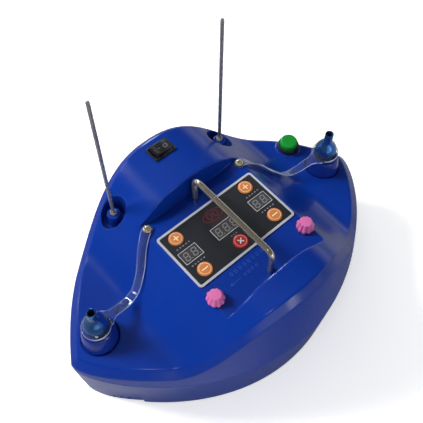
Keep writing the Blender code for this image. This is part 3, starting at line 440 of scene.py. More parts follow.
def lathe(profile, seg=72, closed=False):
    """Spins (radius, height) about Z. Ends on the axis become points."""
    verts, faces, rows = [], [], []
    for r, z in profile:
        if abs(r) < 1e-6:
            rows.append([len(verts)] * seg)
            verts.append((0.0, 0.0, z))
        else:
            rows.append(list(range(len(verts), len(verts) + seg)))
            verts += [(r * cos(2 * pi * i / seg), r * sin(2 * pi * i / seg), z) for i in range(seg)]
    pairs = list(zip(rows, rows[1:])) + ([(rows[-1], rows[0])] if closed else [])
    for a, b in pairs:
        for i in range(seg):
            j = (i + 1) % seg
            f = []
            for k in (a[i], a[j], b[j], b[i]):
                if k not in f:
                    f.append(k)
            if len(f) > 2:
                faces.append(tuple(f))
    return verts, faces


def tube(path, r, seg=20, closed=False, section=None):
    """A round bar along a path, turned without twist."""
    pts = [Vector(p) for p in path]
    n = len(pts)
    tang = []
    for i in range(n):
        a, b = pts[max(i - 1, 0)], pts[min(i + 1, n - 1)]
        tang.append((b - a).normalized())
    side = tang[0].orthogonal().normalized()
    rings = []
    for i, (p, t) in enumerate(zip(pts, tang)):
        side = (side - t * side.dot(t)).normalized()
        up = t.cross(side)
        rr = r[i] if isinstance(r, (list, tuple)) else r
        rings.append([tuple(p + (side * cos(a) + up * sin(a)) * rr) for a in (2 * pi * k / seg for k in range(seg))])
    return loft(rings)


def rrect(w, d, r, cx=0.0, cy=0.0, steps=6):
    r = max(r, 0.01)
    pts = []
    for k, (sx, sy) in enumerate(((1, 1), (-1, 1), (-1, -1), (1, -1))):
        for i in range(steps + 1):
            a = (k + i / steps) * pi / 2
            pts.append((cx + sx * (w / 2 - r) + r * cos(a), cy + sy * (d / 2 - r) + r * sin(a)))
    return pts


def soft_slab(w, d, r, z0, z1, edge=0.3, cx=0.0, cy=0.0, low=0.0, steps=6):
    """A rounded rectangle made thick, its upper edge rolled."""
    rings = []
    for inset, z in [(low, z0), (0, z0 + low)] + [(edge * (1 - cos(a)), z1 - edge * (1 - sin(a))) for a in (0, pi / 6, pi / 3, pi / 2)]:
        rings.append([(x, y, z) for x, y in rrect(w - 2 * inset, d - 2 * inset, r - inset, cx, cy, steps)])
    return loft(rings)


def flat(outline, z0, z1):
    return loft([[(x, y, z0) for x, y in outline], [(x, y, z1) for x, y in outline]])


def circle(r, n, cx=0.0, cy=0.0, phase=0.0):
    return [(cx + r * cos(2 * pi * i / n + phase), cy + r * sin(2 * pi * i / n + phase)) for i in range(n)]


def build(name, form, mats, sharp=34.0, weighted=True):
    mesh = bpy.data.meshes.new(name)
    mesh.from_pydata([W(p) for p in form.v], [], form.f)
    for mat in mats:
        mesh.materials.append(mat)
    if len(mats) > 1:
        mesh.polygons.foreach_set("material_index", form.m)
    bm = bmesh.new()
    bm.from_mesh(mesh)
    bmesh.ops.remove_doubles(bm, verts=bm.verts, dist=2e-7)
    bmesh.ops.dissolve_degenerate(bm, edges=bm.edges, dist=1e-8)
    bmesh.ops.delete(bm, geom=[v for v in bm.verts if not v.link_faces], context="VERTS")
    bmesh.ops.recalc_face_normals(bm, faces=bm.faces)
    if bm.calc_volume(signed=True) < 0:
        bmesh.ops.reverse_faces(bm, faces=bm.faces)
    bm.to_mesh(mesh)
    bm.free()
    mesh.shade_smooth()
    mesh.set_sharp_from_angle(angle=radians(sharp))
    obj = bpy.data.objects.new(name, mesh)
    SCENE.collection.objects.link(obj)
    if weighted:
        mod = obj.modifiers.new("weighted", "WEIGHTED_NORMAL")
        mod.keep_sharp, mod.weight = True, 50
    return obj


def piece(name, form, mats, body, stands_for=(), slot=None, **kw):
    obj = build(name, form, mats if isinstance(mats, (list, tuple)) else [mats], **kw)
    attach(obj, body)
    if stands_for:
        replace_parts(obj, *([stands_for] if isinstance(stands_for, str) else stands_for))
    return obj


# ----------------------------------------------------------------- housing shape
def crown(x, y=95.0):
    x = abs(x)
    if x >= CROWN_HALF:
        return WING_TOP - WING_FALL * (x - CROWN_HALF) ** 2
    hump = (1 + cos(pi * (x / CROWN_HALF) ** CROWN_POWER)) / 2
    return WING_TOP + (CROWN_TOP - WING_TOP) * hump + CROWN_TILT * (y - 95.0) * hump


def bezier(p, t):
    s = 1 - t
    w = (s ** 3, 3 * s * s * t, 3 * s * t * t, t ** 3)
    d = (-3 * s * s, 3 * s * s - 6 * s * t, 6 * s * t - 3 * t * t, 3 * t * t)
    return (sum(k * q[0] for k, q in zip(w, p)), sum(k * q[1] for k, q in zip(w, p)),
            sum(k * q[0] for k, q in zip(d, p)), sum(k * q[1] for k, q in zip(d, p)))


def outline(u, inset=0.0):
    x, y, dx, dy = bezier(NOSE, 2 * u) if u <= 0.5 else bezier(TAIL, 2 * u - 1)
    n = hypot(dx, dy)
    return x - inset * dy / n, y + inset * dx / n


def crest(u, inset=0.0, drop=0.0):
    z = -10.0
    for _ in range(12):
        lean = UPPER_DRAFT * (z - BEVEL_DOWN - SEAM_Z)
        x, y = outline(u, inset + lean + BEVEL_IN)
        z = crown(x, y)
    bx, by = outline(u, inset + lean)
    return (x, y, z - drop), (bx, by, z - drop - BEVEL_DOWN), lean


def even_places(count):
    """Outline places at equal steps of length, nose to tail."""
    us = [i / 4000 for i in range(4001)]
    pts = [outline(u, 6.0) for u in us]
    run = [0.0]
    for a, b in zip(pts, pts[1:]):
        run.append(run[-1] + hypot(b[0] - a[0], b[1] - a[1]))
    return [float(np.interp(run[-1] * i / count, run, us)) for i in range(count + 1)]


PLACES = even_places(216)
RING = [(u, 1) for u in PLACES] + [(u, -1) for u in reversed(PLACES[1:-1])]


def mirror_ring(fn):
    """fn(u) -> list of points; returns that list for each place round the whole outline."""
    half = {u: fn(u) for u in PLACES}
    out = []
    for u, side in RING:
        out.append([(0.0 if u in (PLACES[0], PLACES[-1]) else side * p[0], p[1], p[2]) for p in half[u]])
    return out


def roll(a, b, c, d, steps=5, skip=False):
    """Rounded corner at b between a and c, d from the corner."""
    a, b, c = Vector(a), Vector(b), Vector(c)
    s, e = b + (a - b).normalized() * d, b + (c - b).normalized() * d
    return [tuple(s * (1 - t) ** 2 + b * 2 * t * (1 - t) + e * t * t) for t in (k / steps for k in range(1 if skip else 0, steps + 1))]


CREST_ROLL, BROW_ROLL = 1.4, 1.2


def outer_section(u):
    """From the crown, over the chamfer band and down the drafted wall to the seam lip."""
    a, b, lean = crest(u)
    x, y = outline(u, lean + BEVEL_IN + CREST_ROLL)
    p0 = (x, y, crown(x, y))
    cx, cy = outline(u, 0.05)
    c = (cx, cy, SEAM_Z + 0.75)
    pts = [p0] + roll(p0, a, b, CREST_ROLL, 5, True)
    pts += roll(a, b, c, BROW_ROLL, 5)
    last = Vector(pts[-1])
    steps = max(2, int((last.z - c[2]) / 6.0))
    pts += [tuple(last.lerp(Vector(c), k / 8)) for k in range(1, 9)]
    for inset, z in ((0.12, SEAM_Z + 0.40), (0.30, SEAM_Z + 0.22), (0.60, SEAM_Z + 0.15), (WALL, SEAM_Z + 0.15)):
        x, y = outline(u, inset)
        pts.append((x, y, z))
    ia, ib, _ = crest(u, WALL, 3.0)
    pts += [(ib[0], ib[1], ib[2]), (ia[0], ia[1], ia[2])]
    return pts


EPS = 0.04


def step(d, low, top, rb, rt):
    """Height across a near-vertical wall: low side at d < 0, high side at d > 0, both feet rolled."""
    h = top - low
    if h < 0.01:
        return low if d < 0 else top
    rb, rt = min(rb, 0.45 * h), min(rt, 0.5 * h)
    if d <= -rb:
        return low
    if d <= 0:
        s = (d + rb) / rb
        return low + rb * (1 - sqrt(max(0.0, 1 - s * s)))
    d -= EPS
    if d <= 0:
        return low + rb + (h - rb - rt) * (d + EPS) / EPS
    if d < rt:
        s = 1 - d / rt
        return top - rt * (1 - sqrt(max(0.0, 1 - s * s)))
    return top


def smooth_min(a, b, k):
    h = max(k - abs(a - b), 0.0) / k
    return min(a, b) - h * h * k / 4


def front_of(x):
    return RECESS_FRONT


def trough_front(x):
    return 36.5 - 6.0 * (x / 43.0) ** 2


def trough_depth(x, y):
    """Gutter at the foot of the rear wall: rolled front edge, deepest at the wall, gone at both ends."""
    front = trough_front(x)
    s = (y - front) / (RECESS_REAR - front)
    if s <= 0:
        return 0.0
    fade = max(0.0, 1 - (abs(x) / 45.0) ** 4)
    ease = s * s / (s + 0.13)
    return min(TROUGH_DEPTH, TROUGH_DEPTH * 1.12 * ease) * fade


RB, RT, RT_FRONT = 1.0, 1.1, 2.4            # rolls at the foot and the top of the recess walls
CIRCLES = []                 # (x, y, radius, roll low, roll high, count) for the sampling rows
for _, s in SIDES:
    CIRCLES += [(s * ROD_X, ROD_Y, ROD_RECESS_R, 0.8, 0.9, 72), (s * ROD_X, ROD_Y, -ROD_BOSS_R, 0.6, 0.7, 48),
                (s * NOZZLE_X, NOZZLE_Y, 15.6, 0.5, 0.8, 88)]
CIRCLES.append((GREEN_X, GREEN_Y, -11.2, 0.7, 0.7, 72))


def top_height(x, y):
    base = crown(x, y)
    for s in (1, -1):
        r = hypot(x - s * ROD_X, y - ROD_Y)
        if r < ROD_RECESS_R + 1.5:
            low = step(ROD_BOSS_R - r, ROD_FLOOR_Z, ROD_BOSS_Z, 0.6, 0.7)
            return step(r - ROD_RECESS_R, low, base, 0.8, 0.9)
        r = hypot(x - s * NOZZLE_X, y - NOZZLE_Y)
        if r < 17.5:
            return step(r - 15.6, -42.6, base, 0.5, 0.8)
    r = hypot(x - GREEN_X, y - GREEN_Y)
    if r < 13.0:
        return step(11.2 - r, base, GREEN_Z, 0.7, 0.7)
    floor = smooth_min(base, FLOOR_Z, 1.3)
    if abs(x) < 48 and y > 25:
        floor = min(floor, FLOOR_Z - trough_depth(x, y))
    d = max(y - RECESS_REAR, front_of(x) - y)
    if floor > base - 0.01:
        return base
    return step(d, floor, base, RB, RT if y > 0 else RT_FRONT)


def inner_height(x, y):
    base = crown(x, y) - 3.0
    z = base
    if front_of(x) - WALL < y < RECESS_REAR + WALL:
        floor = FLOOR_Z - WALL
        if abs(x) < 46 + WALL and y > trough_front(x) - WALL:
            floor -= TROUGH_DEPTH
        z = min(z, floor)
    for s in (1, -1):
        if hypot(x - s * ROD_X, y - ROD_Y) < ROD_RECESS_R + WALL:
            z = min(z, ROD_FLOOR_Z - WALL)
        if hypot(x - s * NOZZLE_X, y - NOZZLE_Y) < 18.0:
            z = min(z, -45.6)
        if hypot(x - s * STRAP_X, y - STRAP_Y) < 3.6:
            z = min(z, -11.0)
        for _, px, py in POSTS:
            r = hypot(x - s * px, y - py)
            if r < 4.2:
                z = SEAM_Z + (14.0 if r < 1.9 else 0.15)
    if hypot(x - GREEN_X, y - GREEN_Y) < 11.5:
        z = min(z, GREEN_Z - 5.5)
    return z


class Field:
    """Plan points and lines for a height surface."""

    def __init__(self):
        self.pts, self.edges, self.seen = [], set(), {}

    def point(self, x, y):
        key = (round(x, 3), round(y, 3))
        if key not in self.seen:
            self.seen[key] = len(self.pts)
            self.pts.append((x, y))
        return self.seen[key]

    def line(self, pts, closed=False):
        ids = [self.point(*p) for p in pts]
        for a, b in zip(ids, ids[1:] + (ids[:1] if closed else [])):
            if a != b:
                self.edges.add((min(a, b), max(a, b)))
        return ids

    def fill(self, sx, sy, x1, y0, y1, clear):
        tree = KDTree(len(self.pts))
        for i, (x, y) in enumerate(self.pts):
            tree.insert((x, y, 0), i)
        tree.balance()
        rows = int((y1 - y0) / sy)
        cols = int(x1 / sx)
        for j in range(rows + 1):
            y = y0 + j * sy
            for i in range(-cols, cols + 1):
                x = (i + 0.5 * (j % 2)) * sx
                if tree.find((x, y, 0))[2] > clear:
                    self.point(x, y)


def within(points, loop):
    loop = np.array(loop)
    x, y = points[:, 0], points[:, 1]
    inside = np.zeros(len(points), bool)
    x0, y0 = loop[-1]
    for x1, y1 in loop:
        cross = ((y1 > y) != (y0 > y)) & (x < (x0 - x1) * (y - y1) / (y0 - y1 + 1e-30) + x1)
        inside ^= cross
        x0, y0 = x1, y1
    return inside


def triangulate(field, edge_loop, holes):
    res = delaunay_2d_cdt([Vector(p) for p in field.pts], sorted(field.edges), [], 0, 1e-5)
    into = {}
    for j, src in enumerate(res[3]):
        for i in src:
            into[i] = j
    flatp = np.array([(v.x, v.y) for v in res[0]])
    tris = np.array([f for f in res[2] if len(f) == 3])
    mid = flatp[tris].mean(1)
    keep = within(mid, edge_loop)
    for hole in holes:
        keep &= ~within(mid, hole)
    return flatp, tris[keep], into


HOLES = {"window": rrect(WINDOW_X, WINDOW_Y, 2.0), "switch": rrect(19.6, 13.6, 0.6, 0.0, SWITCH_Y),
         "green": circle(8.1, 48, GREEN_X, GREEN_Y)}
for word, s in SIDES:
    HOLES["knob_" + word] = circle(3.9, 32, s * KNOB_X, KNOB_Y)
    HOLES["strap_" + word] = circle(1.9, 20, s * STRAP_X, STRAP_Y)
    HOLES["rod_" + word] = circle(ROD_R + 0.3, 24, s * ROD_X, ROD_Y)
    HOLES["nozzle_" + word] = circle(11.2, 56, s * NOZZLE_X, NOZZLE_Y)
for word, y in (("front", HANDLE_FRONT), ("rear", HANDLE_REAR)):
    HOLES["handle_" + word] = circle(HANDLE_R + 0.2, 32, 0.0, y)


def fold_x(y):
    """Where the crown runs down through the recess floor."""
    lo, hi = 30.0, 80.0
    for _ in range(40):
        mid = (lo + hi) / 2
        lo, hi = (mid, hi) if crown(mid, y) > FLOOR_Z else (lo, mid)
    return lo


def wall_rows(field, line_at, sign, xs, low_at):
    """Rows of points up a recess wall whose plan line is y = line_at(x)."""
    plan = {}
    for x in xs:
        y = line_at(x)
        h = crown(x, y) - low_at(x)
        if h < 0.12:
            continue
        rb, rt = min(RB, 0.45 * h), min(RT if sign > 0 else RT_FRONT, 0.5 * h)
        ds = [-rb - 0.9, -rb] + [-rb + rb * sin(a) for a in (0.5, 0.9, 1.25)] + [0.0, EPS]
        ds += [EPS + rt * (1 - cos(a)) for a in (0.35, 0.7, 1.1)] + [EPS + rt, EPS + rt + 0.9]
        for k, d in enumerate(ds):
            plan.setdefault(k, []).append((x, y + sign * d))
    for k, pts in plan.items():
        run = [pts[0]]
        for a, b in zip(pts, pts[1:]):
            if b[0] - a[0] > 4.0:
                field.line(run)
                run = []
            run.append(b)
        field.line(run)


def circle_rows(field, cx, cy, radius, rb, rt, count):
    out = radius > 0
    radius = abs(radius)
    ds = [-rb - 0.8, -rb] + [-rb + rb * sin(a) for a in (0.55, 1.1)] + [0.0, EPS] + [EPS + rt * (1 - cos(a)) for a in (0.4, 0.8, 1.2)] + [EPS + rt, EPS + rt + 0.7]
    for d in ds:
        r = radius + d if out else radius - d
        field.line(circle(r, count, cx, cy), True)


def upper_housing():
    rows = mirror_ring(outer_section)
    outer_loop = [r[0][:2] for r in rows]
    inner_loop = [r[-1][:2] for r in rows]

    f = Field()
    rim = f.line(outer_loop, True)
    hole_ids = {k: f.line(v, True) for k, v in HOLES.items()}
    xs = [i * 1.5 for i in range(-42, 43)]
    wall_rows(f, lambda x: RECESS_REAR, 1, xs, lambda x: FLOOR_Z - (TROUGH_DEPTH if abs(x) < 45.5 else 0))
    wall_rows(f, front_of, -1, xs, lambda x: FLOOR_Z)
    for s in (1, -1):
        for off in (-2.0, -1.2, -0.6, 0.0, 0.6, 1.2, 2.0):
            f.line([(s * (fold_x(y) + off), y) for y in (front_of(50) + 1.5 + i * 2.0 for i in range(50)) if y < RECESS_REAR - 1.4])
    for d in (-0.5, 0.0, 0.2, 0.45, 0.75, 1.1, 1.6, 2.2, 3.0, 4.0, 5.2, 6.6):
        f.line([(x, trough_front(x) + d) for x in (45.0 * (i / 30 - 1) for i in range(61)) if trough_front(x) + d < RECESS_REAR - 2.2])
    for c in CIRCLES:
        circle_rows(f, *c)
    f.fill(2.4, 2.8, 160, -100, 112, 1.35)
    flatp, tris, into = triangulate(f, outer_loop, HOLES.values())

    g = Field()
    inner_rim = g.line(inner_loop, True)
    inner_holes = {k: g.line(v, True) for k, v in HOLES.items()}
    for s in (1, -1):
        for r, (cx, cy), n in ((ROD_RECESS_R + WALL, (s * ROD_X, ROD_Y), 36), (18.0, (s * NOZZLE_X, NOZZLE_Y), 40), (3.6, (s * STRAP_X, STRAP_Y), 16),
                               (4.2, (s * POSTS[0][1], POSTS[0][2]), 20), (4.2, (s * POSTS[1][1], POSTS[1][2]), 20),
                               (1.9, (s * POSTS[0][1], POSTS[0][2]), 16), (1.9, (s * POSTS[1][1], POSTS[1][2]), 16)):
            g.line(circle(r - 0.02, n, cx, cy), True)
            g.line(circle(r + 0.05, n, cx, cy), True)
    for r in (11.48, 11.55):
        g.line(circle(r, 32, GREEN_X, GREEN_Y), True)
    for d in (-0.02, 0.05):
        g.line([(x, RECESS_REAR + WALL + d) for x in (i * 4.0 for i in range(-12, 13))])
        g.line([(x, front_of(x) - WALL - d) for x in (i * 4.0 for i in range(-12, 13))])
        g.line([(x, trough_front(x) - WALL - d) for x in (i * 4.0 for i in range(-11, 12))])
    g.fill(5.0, 6.0, 160, -100, 112, 1.5)
    flatq, trisq, intoq = triangulate(g, inner_loop, HOLES.values())

    form = Form()
    form.add([(x, y, top_height(x, y)) for x, y in flatp], [tuple(t) for t in tris])
    off = len(form.v)
    form.add([(x, y, inner_height(x, y)) for x, y in flatq], [tuple(reversed(t)) for t in trisq])
    n = len(rows)
    depth = len(rows[0])
    base = len(form.v)
    for r in rows:
        form.v += r[1:-1]
    k = depth - 2
    for i in range(n):
        j = (i + 1) % n
        a = [into[rim[i]]] + [base + i * k + m for m in range(k)] + [off + intoq[inner_rim[i]]]
        b = [into[rim[j]]] + [base + j * k + m for m in range(k)] + [off + intoq[inner_rim[j]]]
        for m in range(len(a) - 1):
            form.f.append((a[m], b[m], b[m + 1], a[m + 1]))
            form.m.append(0)
    for key, ids in hole_ids.items():
        inner = inner_holes[key]
        for i in range(len(ids)):
            j = (i + 1) % len(ids)
            form.f.append((into[ids[i]], into[ids[j]], off + intoq[inner[j]], off + intoq[inner[i]]))
            form.m.append(0)
    return form


piece("upper_housing", upper_housing(), M["shell"], "housing", "upper_shell", "shell_blue", sharp=38, weighted=True)


# ------------------------------------------------------------------- solid edits
def solid(form, name="tool"):
    obj = build(name, form, [], weighted=False)
    return obj


def carve(form, steps):
    """Boolean edits on a form: (operation, form, self-overlap). Returns the result as a Form."""
    obj = solid(form, "carve_base")
    tools = []
    for op, tool, own in steps:
        t = solid(tool, "carve_tool")
        tools.append(t)
        mod = obj.modifiers.new("edit", "BOOLEAN")
        mod.operation, mod.solver, mod.object, mod.use_self = op, "EXACT", t, own
    bpy.context.view_layer.update()
    mesh = bpy.data.meshes.new_from_object(obj.evaluated_get(bpy.context.evaluated_depsgraph_get()))
    out = Form()
    out.v = [(v.co.x / MM, v.co.y / MM - DATUM_Y, v.co.z / MM - DATUM_Z) for v in mesh.vertices]
    out.f = [tuple(p.vertices) for p in mesh.polygons]
    out.m = [0] * len(out.f)
    for o in [obj] + tools:
        data = o.data
        bpy.data.objects.remove(o, do_unlink=True)
        bpy.data.meshes.remove(data)
    bpy.data.meshes.remove(mesh)
    return out


def cyl(r, z0, z1, at=(0, 0), n=32, r1=None):
    r1 = r if r1 is None else r1
    return loft([[(x, y, z0) for x, y in circle(r, n, *at)], [(x, y, z1) for x, y in circle(r1, n, *at)]])


def block(x, y, z):
    return loft([[(x[0], y[0], h), (x[1], y[0], h), (x[1], y[1], h), (x[0], y[1], h)] for h in z])


def tools_of(*parts):
    f = Form()
    for p in parts:
        f.add(*p)
    return f


# ------------------------------------------------------------------ lower housing
def outline_ring(inset, z):
    pts = []
    for u, side in RING:
        x, y = outline(u, inset)
        pts.append((0.0 if u in (PLACES[0], PLACES[-1]) else side * x, y, z))
    return pts


def lower_wall(z):
    return LOWER_DRAFT * (SEAM_Z - z)


def band(u0, u1, side, inset0, inset1, z0, z1, slope=0.0, steps=6, start=None):
    """A block that follows the drafted lower wall between two places; start is its depth at the first end."""
    rings = []
    for i in range(steps + 1):
        t = i / steps
        u = u0 + (u1 - u0) * t
        up = u0 + (u1 - slope - u0) * t
        deep = inset1 if start is None else start + (inset1 - start) * t
        pts = []
        for inset, z, w in ((inset0, z0, u), (deep, z0, u), (deep, z1, up), (inset0, z1, up)):
            x, y = outline(w, inset + lower_wall(z))
            pts.append((side * x, y, z))
        rings.append(pts)
    return loft(rings)


def lower_housing():
    foot = lower_wall(FOOT_Z)
    rings = [outline_ring(foot + 1.8, FOOT_Z), outline_ring(foot + 0.85, FOOT_Z + 0.18), outline_ring(foot + 0.25, FOOT_Z + 0.75), outline_ring(lower_wall(FOOT_Z + 1.8), FOOT_Z + 1.8)]
    rings += [outline_ring(lower_wall(z), z) for z in (-107.0, -97.0, -87.0, -77.0, -67.0, SEAM_Z - 0.9)]
    rings += [outline_ring(0.10, SEAM_Z - 0.45), outline_ring(0.28, SEAM_Z - 0.22), outline_ring(0.60, SEAM_Z - 0.15)]
    rings += [outline_ring(4.1, SEAM_Z - 0.15), outline_ring(4.1, SEAM_Z + 3.0), outline_ring(5.3, SEAM_Z + 3.0), outline_ring(5.3, SEAM_Z - 5.0)]
    rings += [outline_ring(WALL + 0.4, SEAM_Z - 6.0), outline_ring(WALL + foot, FOOT_Z + WALL)]
    base = Form().add(*loft(rings))
    posts = tools_of(*[cyl(5.0, FOOT_Z + 1.0, SEAM_Z - 0.2, (s * x, y), 24) for _, x, y in POSTS for _, s in SIDES])
    ways = tools_of(*[cyl(1.9, FOOT_Z - 5, SEAM_Z + 5, (s * x, y), 20) for _, x, y in POSTS for _, s in SIDES])
    wells = tools_of(*[cyl(3.9, FOOT_Z - 5, -78.0, (s * x, y), 28) for _, x, y in POSTS for _, s in SIDES])
    inlet = tools_of(block((-13.8, 13.8), (90, 120), (-96.3, -75.7)))
    seat = tools_of(block((-15.4, 15.4), (106.0, 120), (-98.0, -74.0)))
    slots = tools_of(*[flat(rrect(3.0, 26.0, 1.45, s * (BLOWER_X - 12 + 6 * i), BLOWER_Y, 5), FOOT_Z - 6, FOOT_Z + 6) for _, s in SIDES for i in range(5)])
    vent_step = tools_of(band(0.364, 0.280, -1, -3.0, 1.7, FOOT_Z - 3, -84.0, -0.0045, 40, 0.08))
    steps = [("UNION", posts, False), ("DIFFERENCE", ways, False), ("DIFFERENCE", wells, False), ("DIFFERENCE", inlet, False),
             ("DIFFERENCE", seat, False), ("DIFFERENCE", slots, False), ("DIFFERENCE", vent_step, False)]
    for i in range(3):
        u = 0.356 - 0.019 * i
        steps.append(("DIFFERENCE", tools_of(band(u, u - 0.007, -1, -4.0, 8.0, FOOT_Z + WALL + 0.4, -109.0, 0.0, 2)), False))
    return carve(base, steps)


piece("lower_housing", lower_housing(), M["shell"], "housing", "lower_shell", "shell_blue", sharp=30)

# ------------------------------------------------------------------ control panel
KEYS = (("plus_left", -BUTTON_X, PLUS_Y), ("plus_right", BUTTON_X, PLUS_Y), ("minus_left", -BUTTON_X, MINUS_Y), ("minus_right", BUTTON_X, MINUS_Y), ("zero", 0.0, MINUS_Y))
SCREENS = (("left", -DISPLAY_X, DISPLAY_SIZE, 2), ("centre", 0.0, CENTRE_SIZE, 3), ("right", DISPLAY_X, DISPLAY_SIZE, 2))


def panel_plate():
    """Printed film on a thin plate: light border, charcoal field, key and display openings."""
    outer, inner = rrect(PANEL_X, PANEL_Y, PANEL_R, steps=8), rrect(PANEL_X - 4.0, PANEL_Y - 4.0, 1.4, steps=8)
    edge = [(0.0, -0.80), (0.0, -0.16), (0.05, -0.05), (0.16, 0.0)]
    holes = [circle(BUTTON_R + 0.25, 44, x, y) for _, x, y in KEYS] + [rrect(w, d, 0.3, cx, DISPLAY_Y, 3) for _, cx, (w, d), _ in SCREENS]
    f = Field()
    top = rrect(PANEL_X - 0.32, PANEL_Y - 0.32, PANEL_R - 0.16, steps=8)
    rim = f.line(top, True)
    f.line(inner, True)
    ids = [f.line(h, True) for h in holes]
    f.fill(4.0, 4.0, 49, -27, 27, 1.4)
    pts, tris, into = triangulate(f, top, holes)
    form = Form()
    light = ~within(pts[tris].mean(1), inner)
    form.add([(x, y, 0.0) for x, y in pts], [tuple(t) for t in tris], [int(k) for k in light])
    n = len(pts)
    form.add([(x, y, -0.8) for x, y in pts], [tuple(reversed(t)) for t in tris], 1)
    rows = [[(x, y, z) for x, y in rrect(PANEL_X - 2 * o, PANEL_Y - 2 * o, PANEL_R - o, steps=8)] for o, z in edge[1:3]]
    base = len(form.v)
    for row in rows:
        form.v += row
    k = len(top)
    low = [n + into[i] for i in rim]
    chain = [low, [base + i for i in range(k)], [base + k + i for i in range(k)], [into[i] for i in rim]]
    for a, b in zip(chain, chain[1:]):
        for i in range(k):
            j = (i + 1) % k
            form.f.append((a[i], a[j], b[j], b[i]))
            form.m.append(1)
    for loop in ids:
        for i in range(len(loop)):
            j = (i + 1) % len(loop)
            a, b = into[loop[i]], into[loop[j]]
            form.f.append((b, a, n + a, n + b))
            form.m.append(0)
    return form


piece("panel_plate", panel_plate(), [M["panel"], M["border"]], "housing", "panel_overlay", "panel_film")


def bar(x0, y0, x1, y1, w, z0, z1, n=5):
    """A thin stroke with round ends."""
    a = atan2(y1 - y0, x1 - x0)
    pts = [(x1 + w / 2 * cos(a - pi / 2 + pi * i / n), y1 + w / 2 * sin(a - pi / 2 + pi * i / n)) for i in range(n + 1)]
    pts += [(x0 + w / 2 * cos(a + pi / 2 + pi * i / n), y0 + w / 2 * sin(a + pi / 2 + pi * i / n)) for i in range(n + 1)]
    return flat(pts, z0, z1)


def ring_strip(outer, inner, z0, z1):
    return loft([[(x, y, z0) for x, y in outer], [(x, y, z1) for x, y in outer], [(x, y, z1) for x, y in inner], [(x, y, z0) for x, y in inner]], wrap=True)


INK0, INK1 = -0.02, 0.05
ink = Form()
for _, cx, (w, d), _ in SCREENS:
    ink.add(*ring_strip(rrect(w + 0.85, d + 0.85, 0.4, cx, DISPLAY_Y, 3), rrect(w + 0.08, d + 0.08, 0.25, cx, DISPLAY_Y, 3), INK0, INK1))
piece("display_frames", ink, M["ink"], "housing", slot="panel_film", weighted=False)
ink = Form()
for s in (-1, 1):
    cx = s * DISPLAY_X
    for k in range(-2, 3):      # rising marks by the plus keys, falling marks by the minus keys
        x = cx + k * 2.9
        for y, up in ((9.6, 1), (-9.0, -1)):
            ink.add(*flat([(x - 0.85, y - 0.55 * up), (x + 0.85, y - 0.55 * up), (x, y + 0.75 * up)][:: up], INK0, INK1))
for k in range(-1, 2):
    ink.add(*flat(circle(0.42, 14, k * 2.4, -9.0), INK0, INK1))
piece("panel_printing", ink, M["mark"], "housing", slot="panel_film", weighted=False)

badge = Form()                  # a plain balloon sign in a wide oval, and a row of lozenges


def oval(a, b, cx, cy, n=64):
    return [(cx + a * cos(2 * pi * i / n), cy + b * sin(2 * pi * i / n)) for i in range(n)]


badge.add(*ring_strip(oval(9.5, 5.3, -1.0, 15.4), oval(9.0, 4.8, -1.0, 15.4), INK0, INK1))
for k in (-1, 1):
    badge.add(*ring_strip(oval(2.5, 2.9, -1.0 + 3.0 * k, 15.9, 40), oval(1.9, 2.3, -1.0 + 3.0 * k, 15.9, 40), INK0, INK1))
    badge.add(*flat([(-1.55 + 3.0 * k, 12.2), (-0.45 + 3.0 * k, 12.2), (-1.0 + 3.0 * k, 12.95)], INK0, INK1))
for k in range(-3, 4):
    x = k * 2.3 - 1.0
    badge.add(*flat([(x - 0.6, 8.3), (x, 7.75), (x + 0.6, 8.3), (x, 8.85)], INK0, INK1))
piece("panel_badge", badge, M["red_ink"], "housing", slot="panel_film", weighted=False)

# displays: filter window with dormant segments just under its face
SEG = {"a": (0, 1), "g": (0, 0), "d": (0, -1), "b": (1, 0.5), "c": (1, -0.5), "f": (-1, 0.5), "e": (-1, -0.5)}


def segment(cx, cy, w, h, t, key, z0, z1):
    kx, ky = SEG[key]
    x, y = kx * (w / 2), ky * (h / 2)
    half = (w / 2 - t * 0.62) if kx == 0 else (h / 4 - t * 0.62)
    k = t / 2
    if kx == 0:
        pts = [(x - half, y + k), (x - half - k, y), (x - half, y - k), (x + half, y - k), (x + half + k, y), (x + half, y + k)]
    else:
        pts = [(x + k, y + half), (x, y + half + k), (x - k, y + half), (x - k, y - half), (x, y - half - k), (x + k, y - half)]
    lean = 0.13
    return flat([(cx + px + lean * py, cy + py) for px, py in pts], z0, z1)


for word, cx, (w, d), digits in SCREENS:
    body = Form().add(*soft_slab(w - 0.5, d - 0.5, 0.3, -9.7, -0.35, 0.12, cx, DISPLAY_Y, steps=3))
    for i in range(digits):
        gx = cx + (i - (digits - 1) / 2) * 7.6
        for key in SEG:
            body.add(*segment(gx, DISPLAY_Y, 3.7, 6.8, 0.95, key, -0.40, -0.33), mat=1)
        body.add(*flat(circle(0.45, 12, gx + 2.9, DISPLAY_Y - 3.5), -0.40, -0.33), mat=1)
    piece("display_unit_" + word, body, [M["glass"], M["segment"]], "housing", "display_" + word, "display_dark", weighted=False)


